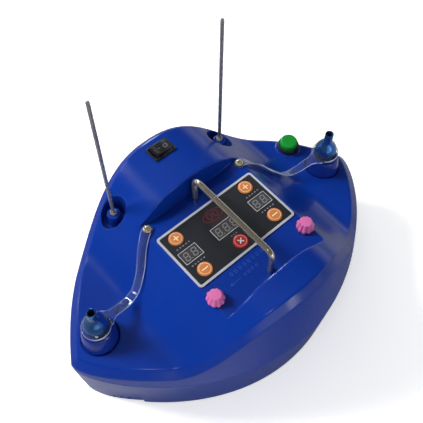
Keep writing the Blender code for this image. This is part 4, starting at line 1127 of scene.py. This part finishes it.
def key_form(kind):
    cap = soften([(0.0, 0.62), (3.3, 0.60, 1.0), (4.34, 0.56, 0.12), (4.50, 0.68, 0.08), (4.86, 0.68, 0.08), (5.04, 0.50, 0.12), (5.75, 0.36, 0.35),
                  (6.2, 0.02, 0.3), (6.2, -3.4), (2.0, -3.4), (2.0, -6.4), (0.0, -6.4)], 0.2, 3)
    f = Form()
    verts, faces = lathe(cap, 64)
    mats = []
    for face in faces:
        rr = [hypot(verts[i][0], verts[i][1]) for i in face]
        mid, zz = sum(rr) / len(rr), sum(verts[i][2] for i in face) / len(face)
        mats.append(1 if 4.36 < mid < 5.02 and zz > 0.50 else 3 if mid < 4.36 and zz > 0.50 else 0)
    f.add(verts, faces, mats)
    z0, z1 = 0.50, 0.68
    if kind == "plus":
        f.add(*flat([(-0.42, -2.7), (0.42, -2.7), (0.42, -0.42), (2.7, -0.42), (2.7, 0.42), (0.42, 0.42), (0.42, 2.7), (-0.42, 2.7),
                     (-0.42, 0.42), (-2.7, 0.42), (-2.7, -0.42), (-0.42, -0.42)], z0, z1), mat=2)
    elif kind == "minus":
        f.add(*flat([(-2.9, -0.47), (2.9, -0.47), (2.9, 0.47), (-2.9, 0.47)], z0, z1), mat=2)
    else:
        c, s = cos(pi / 4), sin(pi / 4)
        pts = [(-0.45, -2.7), (0.45, -2.7), (0.45, -0.45), (2.7, -0.45), (2.7, 0.45), (0.45, 0.45), (0.45, 2.7), (-0.45, 2.7), (-0.45, 0.45), (-2.7, 0.45), (-2.7, -0.45), (-0.45, -0.45)]
        f.add(*flat([(x * c - y * s, x * s + y * c) for x, y in pts], z0, z1), mat=2)
    return f


for word, x, y in KEYS:
    kind = word.split("_")[0]
    form = key_form(kind)
    form.v = [(px + x, py + y, pz) for px, py, pz in form.v]
    skins = [M["red"], M["red_dark"], M["ink"], M["key_well"]] if kind == "zero" else [M["orange"], M["orange_ring"], M["cream"], M["orange"]]
    piece("key_" + word, form, skins, "button_" + word, "button_" + word, "key_red" if kind == "zero" else "key_orange")

# marks moulded into the recess floor in front of the panel: an arrow and a row of pips, coloured a paler blue than the
# shell as a painted highlight
marks = Form()
z0, z1 = FLOOR_Z - 0.05, FLOOR_Z + 0.22
marks.add(*bar(-31.2, -40.1, -21.0, -40.1, 0.5, z0, z1))
marks.add(*bar(-31.2, -40.1, -28.8, -38.7, 0.5, z0 + 0.001, z1 + 0.002))
marks.add(*bar(-31.2, -40.1, -28.8, -41.5, 0.5, z0 + 0.002, z1 + 0.004))
for k in range(9):
    x = -24.6 + 4.5 * k
    marks.add(*ring_strip(rrect(2.3, 3.2, 0.9, x, -33.2, 4), rrect(1.3, 2.2, 0.5, x, -33.2, 4), z0, z1))
for k in range(4):
    x = -16.6 + 4.0 * k
    marks.add(*ring_strip(rrect(2.1, 2.6, 0.8, x, -39.9, 4), rrect(1.2, 1.7, 0.5, x, -39.9, 4), z0, z1))
piece("moulded_marks", marks, M["raised"], "housing", slot="shell_blue", weighted=False)

# ------------------------------------------------------------------------- knobs
for word, s in SIDES:
    n = 160
    rings = []
    prof = [(-0.70, 6.60, 0.40), (-0.50, 6.95, 0.46), (0.4, 7.25, 0.50), (1.6, 7.36, 0.54), (2.5, 7.26, 0.58), (3.1, 6.96, 0.62), (3.6, 6.62, 0.64), (4.6, 6.12, 0.60),
            (5.9, 5.66, 0.52), (7.2, 5.34, 0.42), (7.8, 5.16, 0.34), (8.2, 4.96, 0.26), (8.45, 4.66, 0.18), (8.5, 4.40, 0.12)]
    for z, r, lobe in prof:
        row = []
        for i in range(n):
            a = 2 * pi * i / n
            k = abs(cos(KNOB_LOBES / 2 * a)) ** 0.75
            rr = r - 0.45 + 2.0 * lobe * (k - 0.55)
            row.append((s * KNOB_X + rr * cos(a), KNOB_Y + rr * sin(a), z))
        rings.append(row)
    f = Form().add(*loft(rings))
    f.add(*lathe(soften([(0.0, 8.44), (2.9, 8.44), (2.9, 8.62, 0.1), (0.0, 8.62)], 0.1), 48), at=(s * KNOB_X, KNOB_Y, 0))
    f.add(*lathe([(0.0, 0.2), (2.0, 0.2), (2.0, -4.0), (0.0, -4.0)], 28), at=(s * KNOB_X, KNOB_Y, 0))
    f.add(*bar(s * KNOB_X + 0.9, KNOB_Y, s * KNOB_X + 3.7, KNOB_Y, 0.45, 8.42, 8.68))
    piece("timer_knob_" + word, f, M["knob"], "knob_" + word, "knob_" + word, "knob_pink", sharp=40)


# ------------------------------------------------------------------ handle, rods
def bend(a, corner, b, radius, steps=14):
    a, c, b = Vector(a), Vector(corner), Vector(b)
    u, v = (a - c).normalized(), (b - c).normalized()
    centre = c + (u + v) * radius
    return [tuple(centre - (v * cos(t) + u * sin(t)) * radius) for t in (i / steps * pi / 2 for i in range(steps + 1))]


path = [(0, HANDLE_FRONT, -9.0), (0, HANDLE_FRONT, 0.0)]
path += bend((0, HANDLE_FRONT, 0), (0, HANDLE_FRONT, HANDLE_TOP), (0, 0, HANDLE_TOP), HANDLE_BEND)
path += [(0, y, HANDLE_TOP) for y in range(-36, 28, 8)]
path += bend((0, 0, HANDLE_TOP), (0, HANDLE_REAR, HANDLE_TOP), (0, HANDLE_REAR, 0), HANDLE_BEND)
path += [(0, HANDLE_REAR, 0.0), (0, HANDLE_REAR, -9.0)]
piece("grab_handle", Form().add(*tube(path, HANDLE_R, 32)), M["chrome"], "housing", "carry_handle", "handle_chrome", weighted=False)

for word, s in SIDES:
    rod = lathe(soften([(0.0, ROD_TIP), (0.75, ROD_TIP - 0.06, 0.3), (1.25, ROD_TIP - 0.45, 0.3), (ROD_R, ROD_TIP - 1.3, 0.4), (ROD_R, -32.0, 0.1), (0.0, -32.0)], 0.2), 28)
    piece("balloon_rod_" + word, Form().add(*rod, at=(s * ROD_X, ROD_Y, 0)), M["rod"], "housing", "rod_" + word, "rod_steel", weighted=False)
    # hexagonal ferrule, chamfered to a round crown
    rings = []
    for z, r, trim in ((-7.7, 2.75, 9.9), (-7.55, 2.9, 9.9), (-5.75, 2.9, 9.9), (-5.35, 2.9, 2.72), (-5.12, 2.9, 2.50)):
        row = []
        for i in range(48):
            a = 2 * pi * i / 48
            hexr = r * cos(pi / 6) / cos((a % (pi / 3)) - pi / 6)
            rr = min(hexr, trim)
            row.append((rr * cos(a), rr * sin(a), z))
        rings.append(row)
    rings.append([(1.95 * cos(2 * pi * i / 48), 1.95 * sin(2 * pi * i / 48), -5.1) for i in range(48)])
    rings.append([(1.72 * cos(2 * pi * i / 48), 1.72 * sin(2 * pi * i / 48), -5.3) for i in range(48)])
    rings.append([(1.72 * cos(2 * pi * i / 48), 1.72 * sin(2 * pi * i / 48), -7.7) for i in range(48)])
    f = Form().add(*loft(rings, wrap=True), at=(s * ROD_X, ROD_Y, 0))
    piece("rod_collar_" + word, f, M["ferrule"], "housing", "rod_ferrule_" + word, "steel", sharp=30)

# ------------------------------------------------------------------ rocker switch
TILT = Matrix.Rotation(SWITCH_TILT, 3, "X")
frame_rings = []
for o, z in ((0.0, -0.4), (0.0, 0.9), (0.12, 1.25), (0.45, 1.5), (1.15, 1.5), (1.45, 1.25), (1.6, 0.7)):
    frame_rings.append([(x, y, z) for x, y in rrect(21 - 2 * o, 15 - 2 * o, 1.0 - 0.3 * o, steps=6)])
frame_rings.append([(x, y, -10.5) for x, y in rrect(17.7, 11.8, 0.4, steps=6)])
body_rings = [[(x, y, z) for x, y in rrect(18.8, 12.8, 0.5, steps=6)] for z in (-0.4, -13.0)]
f = Form().add(*loft([frame_rings[-1]] + list(reversed(frame_rings[:-1])) + body_rings), turn=TILT)
f.v = [(x, y + SWITCH_Y, z + SWITCH_Z) for x, y, z in f.v]
piece("switch_frame", f, M["black_gloss"], "housing", "rocker_housing", "black_plastic", sharp=30)

TURN = radians(12.0)
side_view = soften([(-7.9, 4.0, 0.7), (-4.0, 2.95, 0.5), (0.0, 2.6, 2.0), (4.0, 2.95, 0.5), (7.9, 4.0, 0.7), (7.5, -1.6, 0.4), (3.0, -4.6, 0.8), (-3.0, -4.6, 0.8), (-7.5, -1.6, 0.4)], 0.4, 4, True)
view = [(x * cos(TURN) + z * sin(TURN), -x * sin(TURN) + z * cos(TURN)) for x, z in side_view]
cx0, cz0 = sum(p[0] for p in view) / len(view), sum(p[1] for p in view) / len(view)
rings = []
for y, k in ((-5.5, 0.35), (-5.42, 0.14), (-5.2, 0.0), (5.2, 0.0), (5.42, 0.14), (5.5, 0.35)):
    rings.append([(x - k * (x - cx0) / max(1.0, hypot(x - cx0, z - cz0)), y, z - k * (z - cz0) / max(1.0, hypot(x - cx0, z - cz0))) for x, z in view])
paddle = Form().add(*loft(rings), turn=TILT)
for key, cx in (("dash", -2.2), ("ring", 4.0)):
    part = flat(rrect(3.1, 0.52, 0.2, steps=3), 0.0, 0.09) if key == "dash" else ring_strip(circle(1.95, 32), circle(1.50, 32), 0.0, 0.09)
    verts = []
    for x, y, z in part[0]:
        along = abs(x + cx)
        face = 2.6 + 0.0875 * along if along < 4.0 else 2.95 + 0.27 * (along - 4.0)
        verts.append(tuple(TILT @ (Matrix.Rotation(TURN, 3, "Y") @ Vector((x + cx, y, face + z + (-0.06 if z < 0.04 else 0.03))))))
    paddle.add(verts, part[1], 1)
paddle.v = [(x, y + SWITCH_Y, z + SWITCH_Z) for x, y, z in paddle.v]
piece("switch_paddle", paddle, [M["black_gloss"], M["switch_mark"]], "rocker", "rocker", "black_plastic", sharp=30)

# ------------------------------------------------------------------- push button
spot = (GREEN_X, GREEN_Y, GREEN_Z)
bez = soften([(8.3, 4.6, 0.15), (9.0, 4.6, 0.3), (9.55, 3.9, 0.4), (9.8, 2.6, 0.5), (9.8, 0.3, 0.3), (7.7, 0.3), (7.7, -12.0), (6.2, -12.0), (6.2, 0.9), (8.3, 0.9)], 0.2, 3, True)
piece("start_button_collar", Form().add(*lathe(bez, 96, True), at=spot), M["black"], "housing", "push_button_bezel", "black_plastic", sharp=30)
cap = soften([(0.0, 9.25), (3.5, 9.35, 2.0), (6.4, 9.4, 0.5), (7.3, 9.05, 0.5), (7.8, 8.3, 0.6), (7.95, 7.2, 0.5), (7.95, 4.4, 0.2), (5.8, 4.4), (5.8, -6.0), (0.0, -6.0)], 0.2, 4)
piece("start_button_cap", Form().add(*lathe(cap, 96), at=spot), M["green"], "push_button", "push_button_cap", "cap_green", sharp=30)

# ----------------------------------------------------------------------- nozzles
curve = flow([(3.74, -0.2), (4.0, -1.7), (4.85, -3.6), (6.25, -5.8), (7.65, -7.9), (8.65, -9.9), (9.22, -11.6)], 4)
CONE = [(2.75, 7.45, 0.1), (2.95, 7.62, 0.12), (3.5, 7.62, 0.12), (3.68, 7.40, 0.15), (3.72, 4.5, 0.0)] + [(*p, 0.0) for p in curve] + [
    (9.42, -12.6, 0.3), (9.42, -14.0, 0.3), (9.0, -14.85, 0.35), (6.1, -14.85, 0.1), (6.1, -7.0, 0.5), (2.75, -6.0, 0.5)]
BELL = [(8.2, -21.6, 0.3), (10.5, -21.6, 0.5), (12.2, -23.2, 0.7), (13.2, -26.6, 1.2), (14.2, -31.4, 1.5), (14.9, -36.0, 1.5), (14.9, -42.2, 0.3), (8.2, -42.2),
        (8.2, -70.0), (6.1, -70.0), (6.1, -40.0), (12.6, -40.0), (11.1, -25.2), (8.2, -23.8)]
STEM = [(4.2, -7.3, 0.2), (5.8, -7.3, 0.2), (5.8, -25.8), (10.4, -25.8), (10.4, -27.4), (5.8, -27.4), (5.8, -58.0), (4.2, -58.0)]
for word, s in SIDES:
    at = (s * NOZZLE_X, NOZZLE_Y, 0)
    body = "nozzle_" + word
    piece("nozzle_tip_" + word, Form().add(*lathe(soften(CONE, 0.2, 3, True), 96, True), at=at), M["cone"], body, "nozzle_cone_" + word, "nozzle_blue_metal", sharp=32, weighted=False)
    piece("nozzle_tube_" + word, Form().add(*lathe(soften(STEM, 0.2, 3, True), 64, True), at=at), M["steel"], body, "nozzle_stem_" + word, "steel", sharp=32)
    bell = Form().add(*lathe(soften(BELL, 0.3, 4, True), 96, True), at=at)
    bell = carve(bell, [("DIFFERENCE", tools_of(cyl(1.1, -50, -38, (s * (NOZZLE_X - 9.4), NOZZLE_Y), 20)), False)])
    piece("nozzle_bell_" + word, bell, M["bell"], "housing", "nozzle_base_" + word, "shell_blue", sharp=32)
    n, turns = 24, 3.5
    coil = [(7.1 * cos(2 * pi * i / n), 7.1 * sin(2 * pi * i / n), -39.0 + 10.6 * i / (turns * n)) for i in range(int(turns * n) + 1)]
    spring = build("return_spring_" + word, Form().add(*tube(coil, 0.5, 12), at=at), [M["steel"]], weighted=False)
    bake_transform(spring)
    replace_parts(spring, "nozzle_spring_" + word)

# ------------------------------------------------------------------ clear straps
# soft straps hang a little differently on the two sides: centre line and roll
LINES = {
    "left": [(-49.0, 38.9, 0.4, 0), (-53.0, 36.6, 0.2, 4), (-61.0, 31.0, -6.6, 18), (-70.6, 22.2, -16.8, 22), (-81.0, 15.4, -25.0, 20), (-89.0, 12.6, -27.2, 12),
             (-97.0, 10.6, -25.0, 4), (-105.0, 8.8, -20.6, 0), (-112.5, 7.8, -17.9, 0), (-116.0, 7.5, -17.6, 0)],
    "right": [(49.0, 38.9, 0.4, 0), (53.5, 38.0, 0.3, -4), (61.0, 36.6, -6.4, -26), (70.0, 32.6, -16.2, -62), (77.0, 24.0, -22.4, -66), (87.0, 17.0, -27.0, -30),
              (97.0, 13.4, -25.2, -8), (105.0, 10.6, -20.4, 0), (112.5, 8.4, -17.9, 0), (116.0, 7.6, -17.6, 0)],
}
for word, s in SIDES:
    pts = flow(LINES[word], 7)
    rings, places = [], []
    for i, p in enumerate(pts):
        a, b = pts[max(i - 1, 0)], pts[min(i + 1, len(pts) - 1)]
        t = (Vector(b[:3]) - Vector(a[:3])).normalized()
        side = t.cross(Vector((0, 0, 1))).normalized()
        side = Matrix.Rotation(radians(p[3]), 3, t) @ side
        up = side.cross(t)
        reach = hypot(p[0] - s * NOZZLE_X, p[1] - NOZZLE_Y)
        flare = max(0.0, 1 - max(0.0, reach - 10.5) / 7.5)
        w = STRAP_W + 7.0 * flare * flare
        rings.append([tuple(Vector(p[:3]) + side * x + up * z) for x, z in rrect(w, STRAP_T, 0.55, steps=4)])
        places.append((Vector(p[:3]), side, w / 2))
    strip = Form().add(*loft(rings))
    eye = soften([(0.0, -0.85), (4.3, -0.85, 0.5), (4.3, 1.15, 0.5), (0.0, 1.15)], 0.4, 3)
    eye_form = tools_of((lambda vf: ([(x + s * STRAP_X, y + STRAP_Y, z) for x, y, z in vf[0]], vf[1]))(lathe(eye, 48)))
    collar = soften([(6.3, -15.7, 0.4), (11.3, -15.7, 0.7), (11.75, -17.6, 0.9), (11.3, -19.5, 0.7), (6.3, -19.5, 0.4)], 0.4, 4, True)
    ring_form = Form().add(*lathe(collar, 80, True), at=(s * NOZZLE_X, NOZZLE_Y, 0))
    strap = carve(strip, [("UNION", ring_form, False), ("UNION", eye_form, False),
                          ("DIFFERENCE", tools_of(cyl(6.3, -30, 0, (s * NOZZLE_X, NOZZLE_Y), 56)), False),
                          ("DIFFERENCE", tools_of(cyl(1.75, -10, 10, (s * STRAP_X, STRAP_Y), 24)), False)])
    strap.m = []
    for face in strap.f:
        mid = sum((Vector(strap.v[i]) for i in face), Vector()) / len(face)
        here, side, half = min(places, key=lambda q: (q[0] - mid).length_squared)
        reach = hypot(mid.x - s * NOZZLE_X, mid.y - NOZZLE_Y)
        # edge faces of the strap and the outer rim of its collar take the paler edge material, a painted highlight line
        cut = reach > 11.9 and hypot(mid.x - s * STRAP_X, mid.y - STRAP_Y) > 4.4 and abs((mid - here).dot(side)) > half - 0.36
        lip = 11.45 < reach < 11.9 and mid.z < -15.0 and s * (NOZZLE_X * s - mid.x) < 0.75 * reach
        strap.m.append(1 if cut or lip else 0)
    obj = build("clear_strap_" + word, strap, [M["strap"], M["strap_edge"]], sharp=40, weighted=False)
    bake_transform(obj)
    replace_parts(obj, "strap_" + word)

    head = soften([(0.0, 2.95), (1.2, 2.90, 0.5), (2.5, 2.55, 0.8), (3.35, 1.75, 0.4), (3.5, 1.45, 0.1), (3.4, 1.2, 0.1), (1.5, 1.2, 0.2), (1.5, -7.6, 0.3), (0.9, -8.2), (0.0, -8.2)], 0.2, 3)
    screw = Form().add(*lathe(head, 56), at=(s * STRAP_X, STRAP_Y, 0))
    spin = radians(24 * s)
    cuts = []
    for k in (0, 1):
        c, sn = cos(spin + k * pi / 2), sin(spin + k * pi / 2)
        low = [(-1.3, -0.34), (1.3, -0.34), (1.3, 0.34), (-1.3, 0.34)]
        high = [(-2.2, -0.52), (2.2, -0.52), (2.2, 0.52), (-2.2, 0.52)]
        rows = [[(s * STRAP_X + x * c - y * sn, STRAP_Y + x * sn + y * c, z) for x, y in pts4] for pts4, z in ((low, 1.55 + 0.03 * k), (high, 3.2))]
        cuts.append(("DIFFERENCE", tools_of(loft(rows)), False))
    piece("strap_fixing_" + word, carve(screw, cuts), M["screw"], "housing", "strap_screw_" + word, "steel", sharp=30)

# -------------------------------------------------------------------------- feet
for word, s in SIDES:
    for end, x, y in FEET:
        prof = soften([(0.0, -119.5), (3.2, -119.5, 0.5), (4.2, -120.0, 0.3), (6.6, -120.0, 0.5), (7.2, -119.2, 0.5), (8.0, -117.3, 0.3), (0.0, -117.3)], 0.3, 3)
        piece("rubber_foot_%s_%s" % (end, word), Form().add(*lathe(prof, 56), at=(s * x, y, 0)), M["rubber"], "housing", "foot_%s_%s" % (end, word), "foot_rubber", weighted=False)

# ------------------------------------------------- frame nodes that stay in view
KEEP = {"case_screw": "steel", "pot_": "can", "control_board": "pcb", "power_board": "pcb", "blower_housing": "black", "impeller": "black", "motor": "can",
        "air_hose": "hose", "microswitch": "black", "switch_pin": "steel", "mains_inlet": "black", "panel_lead": "wire"}
stood = set(n for o in bpy.data.objects for n in list(o.get("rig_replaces", [])))
for name, node in frame["nodes"].items():
    if name in stood:
        continue
    found = [m for k, m in KEEP.items() if name.startswith(k)]
    if not found:
        raise RuntimeError("no finish for " + name)
    node.data.materials.clear()
    node.data.materials.append(M[found[0]])
    node.data.shade_smooth()
    node.data.set_sharp_from_angle(angle=radians(35))

# ---------------------------------------------------------------- floor and light
SCENE.view_settings.view_transform = "Standard"
SCENE.view_settings.look = "None"

bm = bmesh.new()
bmesh.ops.create_grid(bm, x_segments=8, y_segments=8, size=4.0)
mesh = bpy.data.meshes.new("studio_floor")
bm.to_mesh(mesh)
bm.free()
ground = bpy.data.objects.new("studio_floor", mesh)
SCENE.collection.objects.link(ground)
ground.location = (0, 0, -0.0002)
fm = Nodes("pale_floor")
fm.link(fm.ramp(fm.noise(3.0, 2.0), [(0.3, (0.86, 0.86, 0.86)), (0.7, (0.89, 0.89, 0.89))]), fm.bsdf.inputs["Base Color"])
fm.set(Roughness=0.8, Specular_IOR_Level=0.1)
pos = fm.node("ShaderNodeNewGeometry").outputs["Position"]
sep = fm.node("ShaderNodeSeparateXYZ")
fm.link(pos, sep.inputs[0])
ex = fm.math("POWER", fm.math("ABSOLUTE", fm.math("MULTIPLY", sep.outputs["X"], 1 / 0.155)), 2.0)
ey = fm.math("POWER", fm.math("ABSOLUTE", fm.math("MULTIPLY", sep.outputs["Y"], 1 / 0.103)), 2.0)
away = fm.math("SQRT", fm.math("ADD", ex, ey))
seen = fm.math("ADD", fm.spread(away, 0.46, 0.22, 1.35, 1.80), fm.spread(sep.outputs["X"], 0.0, 0.42, 0.15, 0.33))
rays = fm.node("ShaderNodeLightPath")
dark = fm.node("ShaderNodeBsdfDiffuse")
dark.inputs["Color"].default_value = (0.0, 0.0, 0.0, 1.0)
lit = fm.node("ShaderNodeEmission")
lit.inputs["Strength"].default_value = 0.54
both = fm.node("ShaderNodeAddShader")
fm.link(fm.bsdf.outputs[0], both.inputs[0])
fm.link(lit.outputs[0], both.inputs[1])
mirror = fm.node("ShaderNodeMixShader")      # what glossy rays see
fm.link(seen, mirror.inputs[0])
fm.link(dark.outputs[0], mirror.inputs[1])
fm.link(fm.bsdf.outputs[0], mirror.inputs[2])
plain = fm.node("ShaderNodeMixShader")
fm.link(rays.outputs["Is Camera Ray"], plain.inputs[0])
fm.link(fm.bsdf.outputs[0], plain.inputs[1])
fm.link(both.outputs[0], plain.inputs[2])
final = fm.node("ShaderNodeMixShader")
fm.link(rays.outputs["Is Glossy Ray"], final.inputs[0])
fm.link(plain.outputs[0], final.inputs[1])
fm.link(mirror.outputs[0], final.inputs[2])
fm.link(final.outputs[0], next(k for k in fm.tree.nodes if k.type == "OUTPUT_MATERIAL").inputs["Surface"])
mesh.materials.append(fm.mat)

world = bpy.data.worlds.new("studio")
SCENE.world = world
world.use_nodes = True
wt = world.node_tree
bg = wt.nodes["Background"]
coord = wt.nodes.new("ShaderNodeTexCoord")
split = wt.nodes.new("ShaderNodeSeparateXYZ")
wt.links.new(coord.outputs["Generated"], split.inputs[0])


def wmap(src, a, b, lo, hi):
    m = wt.nodes.new("ShaderNodeMapRange")
    m.interpolation_type = "SMOOTHSTEP"
    for k, v in (("From Min", a), ("From Max", b), ("To Min", lo), ("To Max", hi)):
        m.inputs[k].default_value = v
    wt.links.new(src, m.inputs["Value"])
    return m.outputs["Result"]


def wmul(a, b):
    m = wt.nodes.new("ShaderNodeMath")
    m.operation = "MULTIPLY"
    for sock, v in ((m.inputs[0], a), (m.inputs[1], b)):
        if isinstance(v, float):
            sock.default_value = v
        else:
            wt.links.new(v, sock)
    return m.outputs[0]


def wadd(a, b):
    m = wt.nodes.new("ShaderNodeMath")
    m.operation = "ADD"
    for sock, v in ((m.inputs[0], a), (m.inputs[1], b)):
        if isinstance(v, float):
            sock.default_value = v
        else:
            wt.links.new(v, sock)
    return m.outputs[0]


horizon = wmap(split.outputs["Z"], 0.02, 0.38, 1.0, 0.0)
right = wmap(split.outputs["X"], 0.35, 0.98, 0.0, 0.55)
left = wmap(split.outputs["X"], -0.95, -0.45, 0.12, 0.30)
front = wmul(wmul(wmap(split.outputs["Y"], -0.95, -0.55, 0.80, 0.0), wmap(split.outputs["X"], 0.08, 0.28, 1.0, 0.22)), wmap(split.outputs["Z"], 0.12, 0.55, 1.0, 0.0))
rear = wmap(split.outputs["Y"], 0.55, 0.95, 0.0, 0.9)
strength = wadd(wadd(wmul(horizon, wadd(wadd(right, left), rear)), front), 0.05)
wt.links.new(strength, bg.inputs["Strength"])
bg.inputs["Color"].default_value = (0.93, 0.96, 1.0, 1.0)


def area(name, at, aim, size, power, colour=(1, 1, 1), glossy=True, size_y=None):
    light = bpy.data.lights.new(name, "AREA")
    light.energy, light.color = power, colour
    light.shape = "RECTANGLE"
    light.size, light.size_y = size, size_y or size
    obj = bpy.data.objects.new(name, light)
    SCENE.collection.objects.link(obj)
    obj.location = at
    obj.rotation_euler = (Vector(aim) - Vector(at)).to_track_quat("-Z", "Y").to_euler()
    obj.visible_glossy = glossy
    return obj


area("key_window", (-0.95, 1.25, 1.55), (0, 0, 0.08), 0.6, 48.5, (1.0, 0.98, 0.95), glossy=False)
area("top_fill", (-0.3, 0.8, 2.0), (0, 0, 0.05), 2.0, 14.0, (0.95, 0.98, 1.0), glossy=False)
area("front_fill", (-0.50, -1.62, 0.62), (0, 0, 0.08), 1.3, 11.0, (0.95, 0.98, 1.0), glossy=False)
rear_lamp = area("rear_window", (0.58, 1.50, 1.10), (-0.02, -0.06, 0.12), 0.34, 14.0, (0.70, 0.86, 1.0), size_y=0.60)
rear_lamp.visible_diffuse = False
area("front_card", (0.30, -1.7, 0.62), (0, 0, 0.06), 0.35, 2.1, (1.0, 1.0, 1.0), size_y=0.5)
side_lamp = area("side_window", (-0.845, 1.32, 1.23), (-0.085, 0.006, 0.094), 0.34, 3.0, (0.97, 0.98, 1.0), size_y=0.34)
side_lamp.visible_diffuse = False
area("left_window", (-0.78, -0.28, 1.60), (-0.08, 0.0, 0.10), 0.20, 1.6, (0.97, 0.98, 1.0), size_y=0.26)
unlit = bpy.data.collections.new("not_lit_by_the_windows")      # the right strap shows no window
unlit.objects.link(bpy.data.objects["clear_strap_" + SIDES[1][0]])
unlit.collection_objects[0].light_linking.link_state = "EXCLUDE"
for lamp in (rear_lamp, side_lamp):
    lamp.light_linking.receiver_collection = unlit

# ------------------------------------------------------------------------ camera
az, el, spin = radians(-41.67), radians(58.58), radians(0.62)
back = Vector((sin(az) * cos(el), -cos(az) * cos(el), sin(el)))
right_v = Vector((cos(az), sin(az), 0))
up_v = back.cross(right_v)
r0 = right_v * cos(spin) + up_v * sin(spin)
u0 = -right_v * sin(spin) + up_v * cos(spin)
cam_data = bpy.data.cameras.new("camera")
cam_data.lens, cam_data.sensor_width, cam_data.sensor_fit = 55.56, 36.0, "HORIZONTAL"
cam_data.clip_start, cam_data.clip_end = 0.02, 20.0
camera = bpy.data.objects.new("camera", cam_data)
SCENE.collection.objects.link(camera)
camera.matrix_world = Matrix(((r0.x, u0.x, back.x, -0.18125), (r0.y, u0.y, back.y, -0.19270), (r0.z, u0.z, back.z, 0.56754), (0, 0, 0, 1)))
SCENE.camera = camera
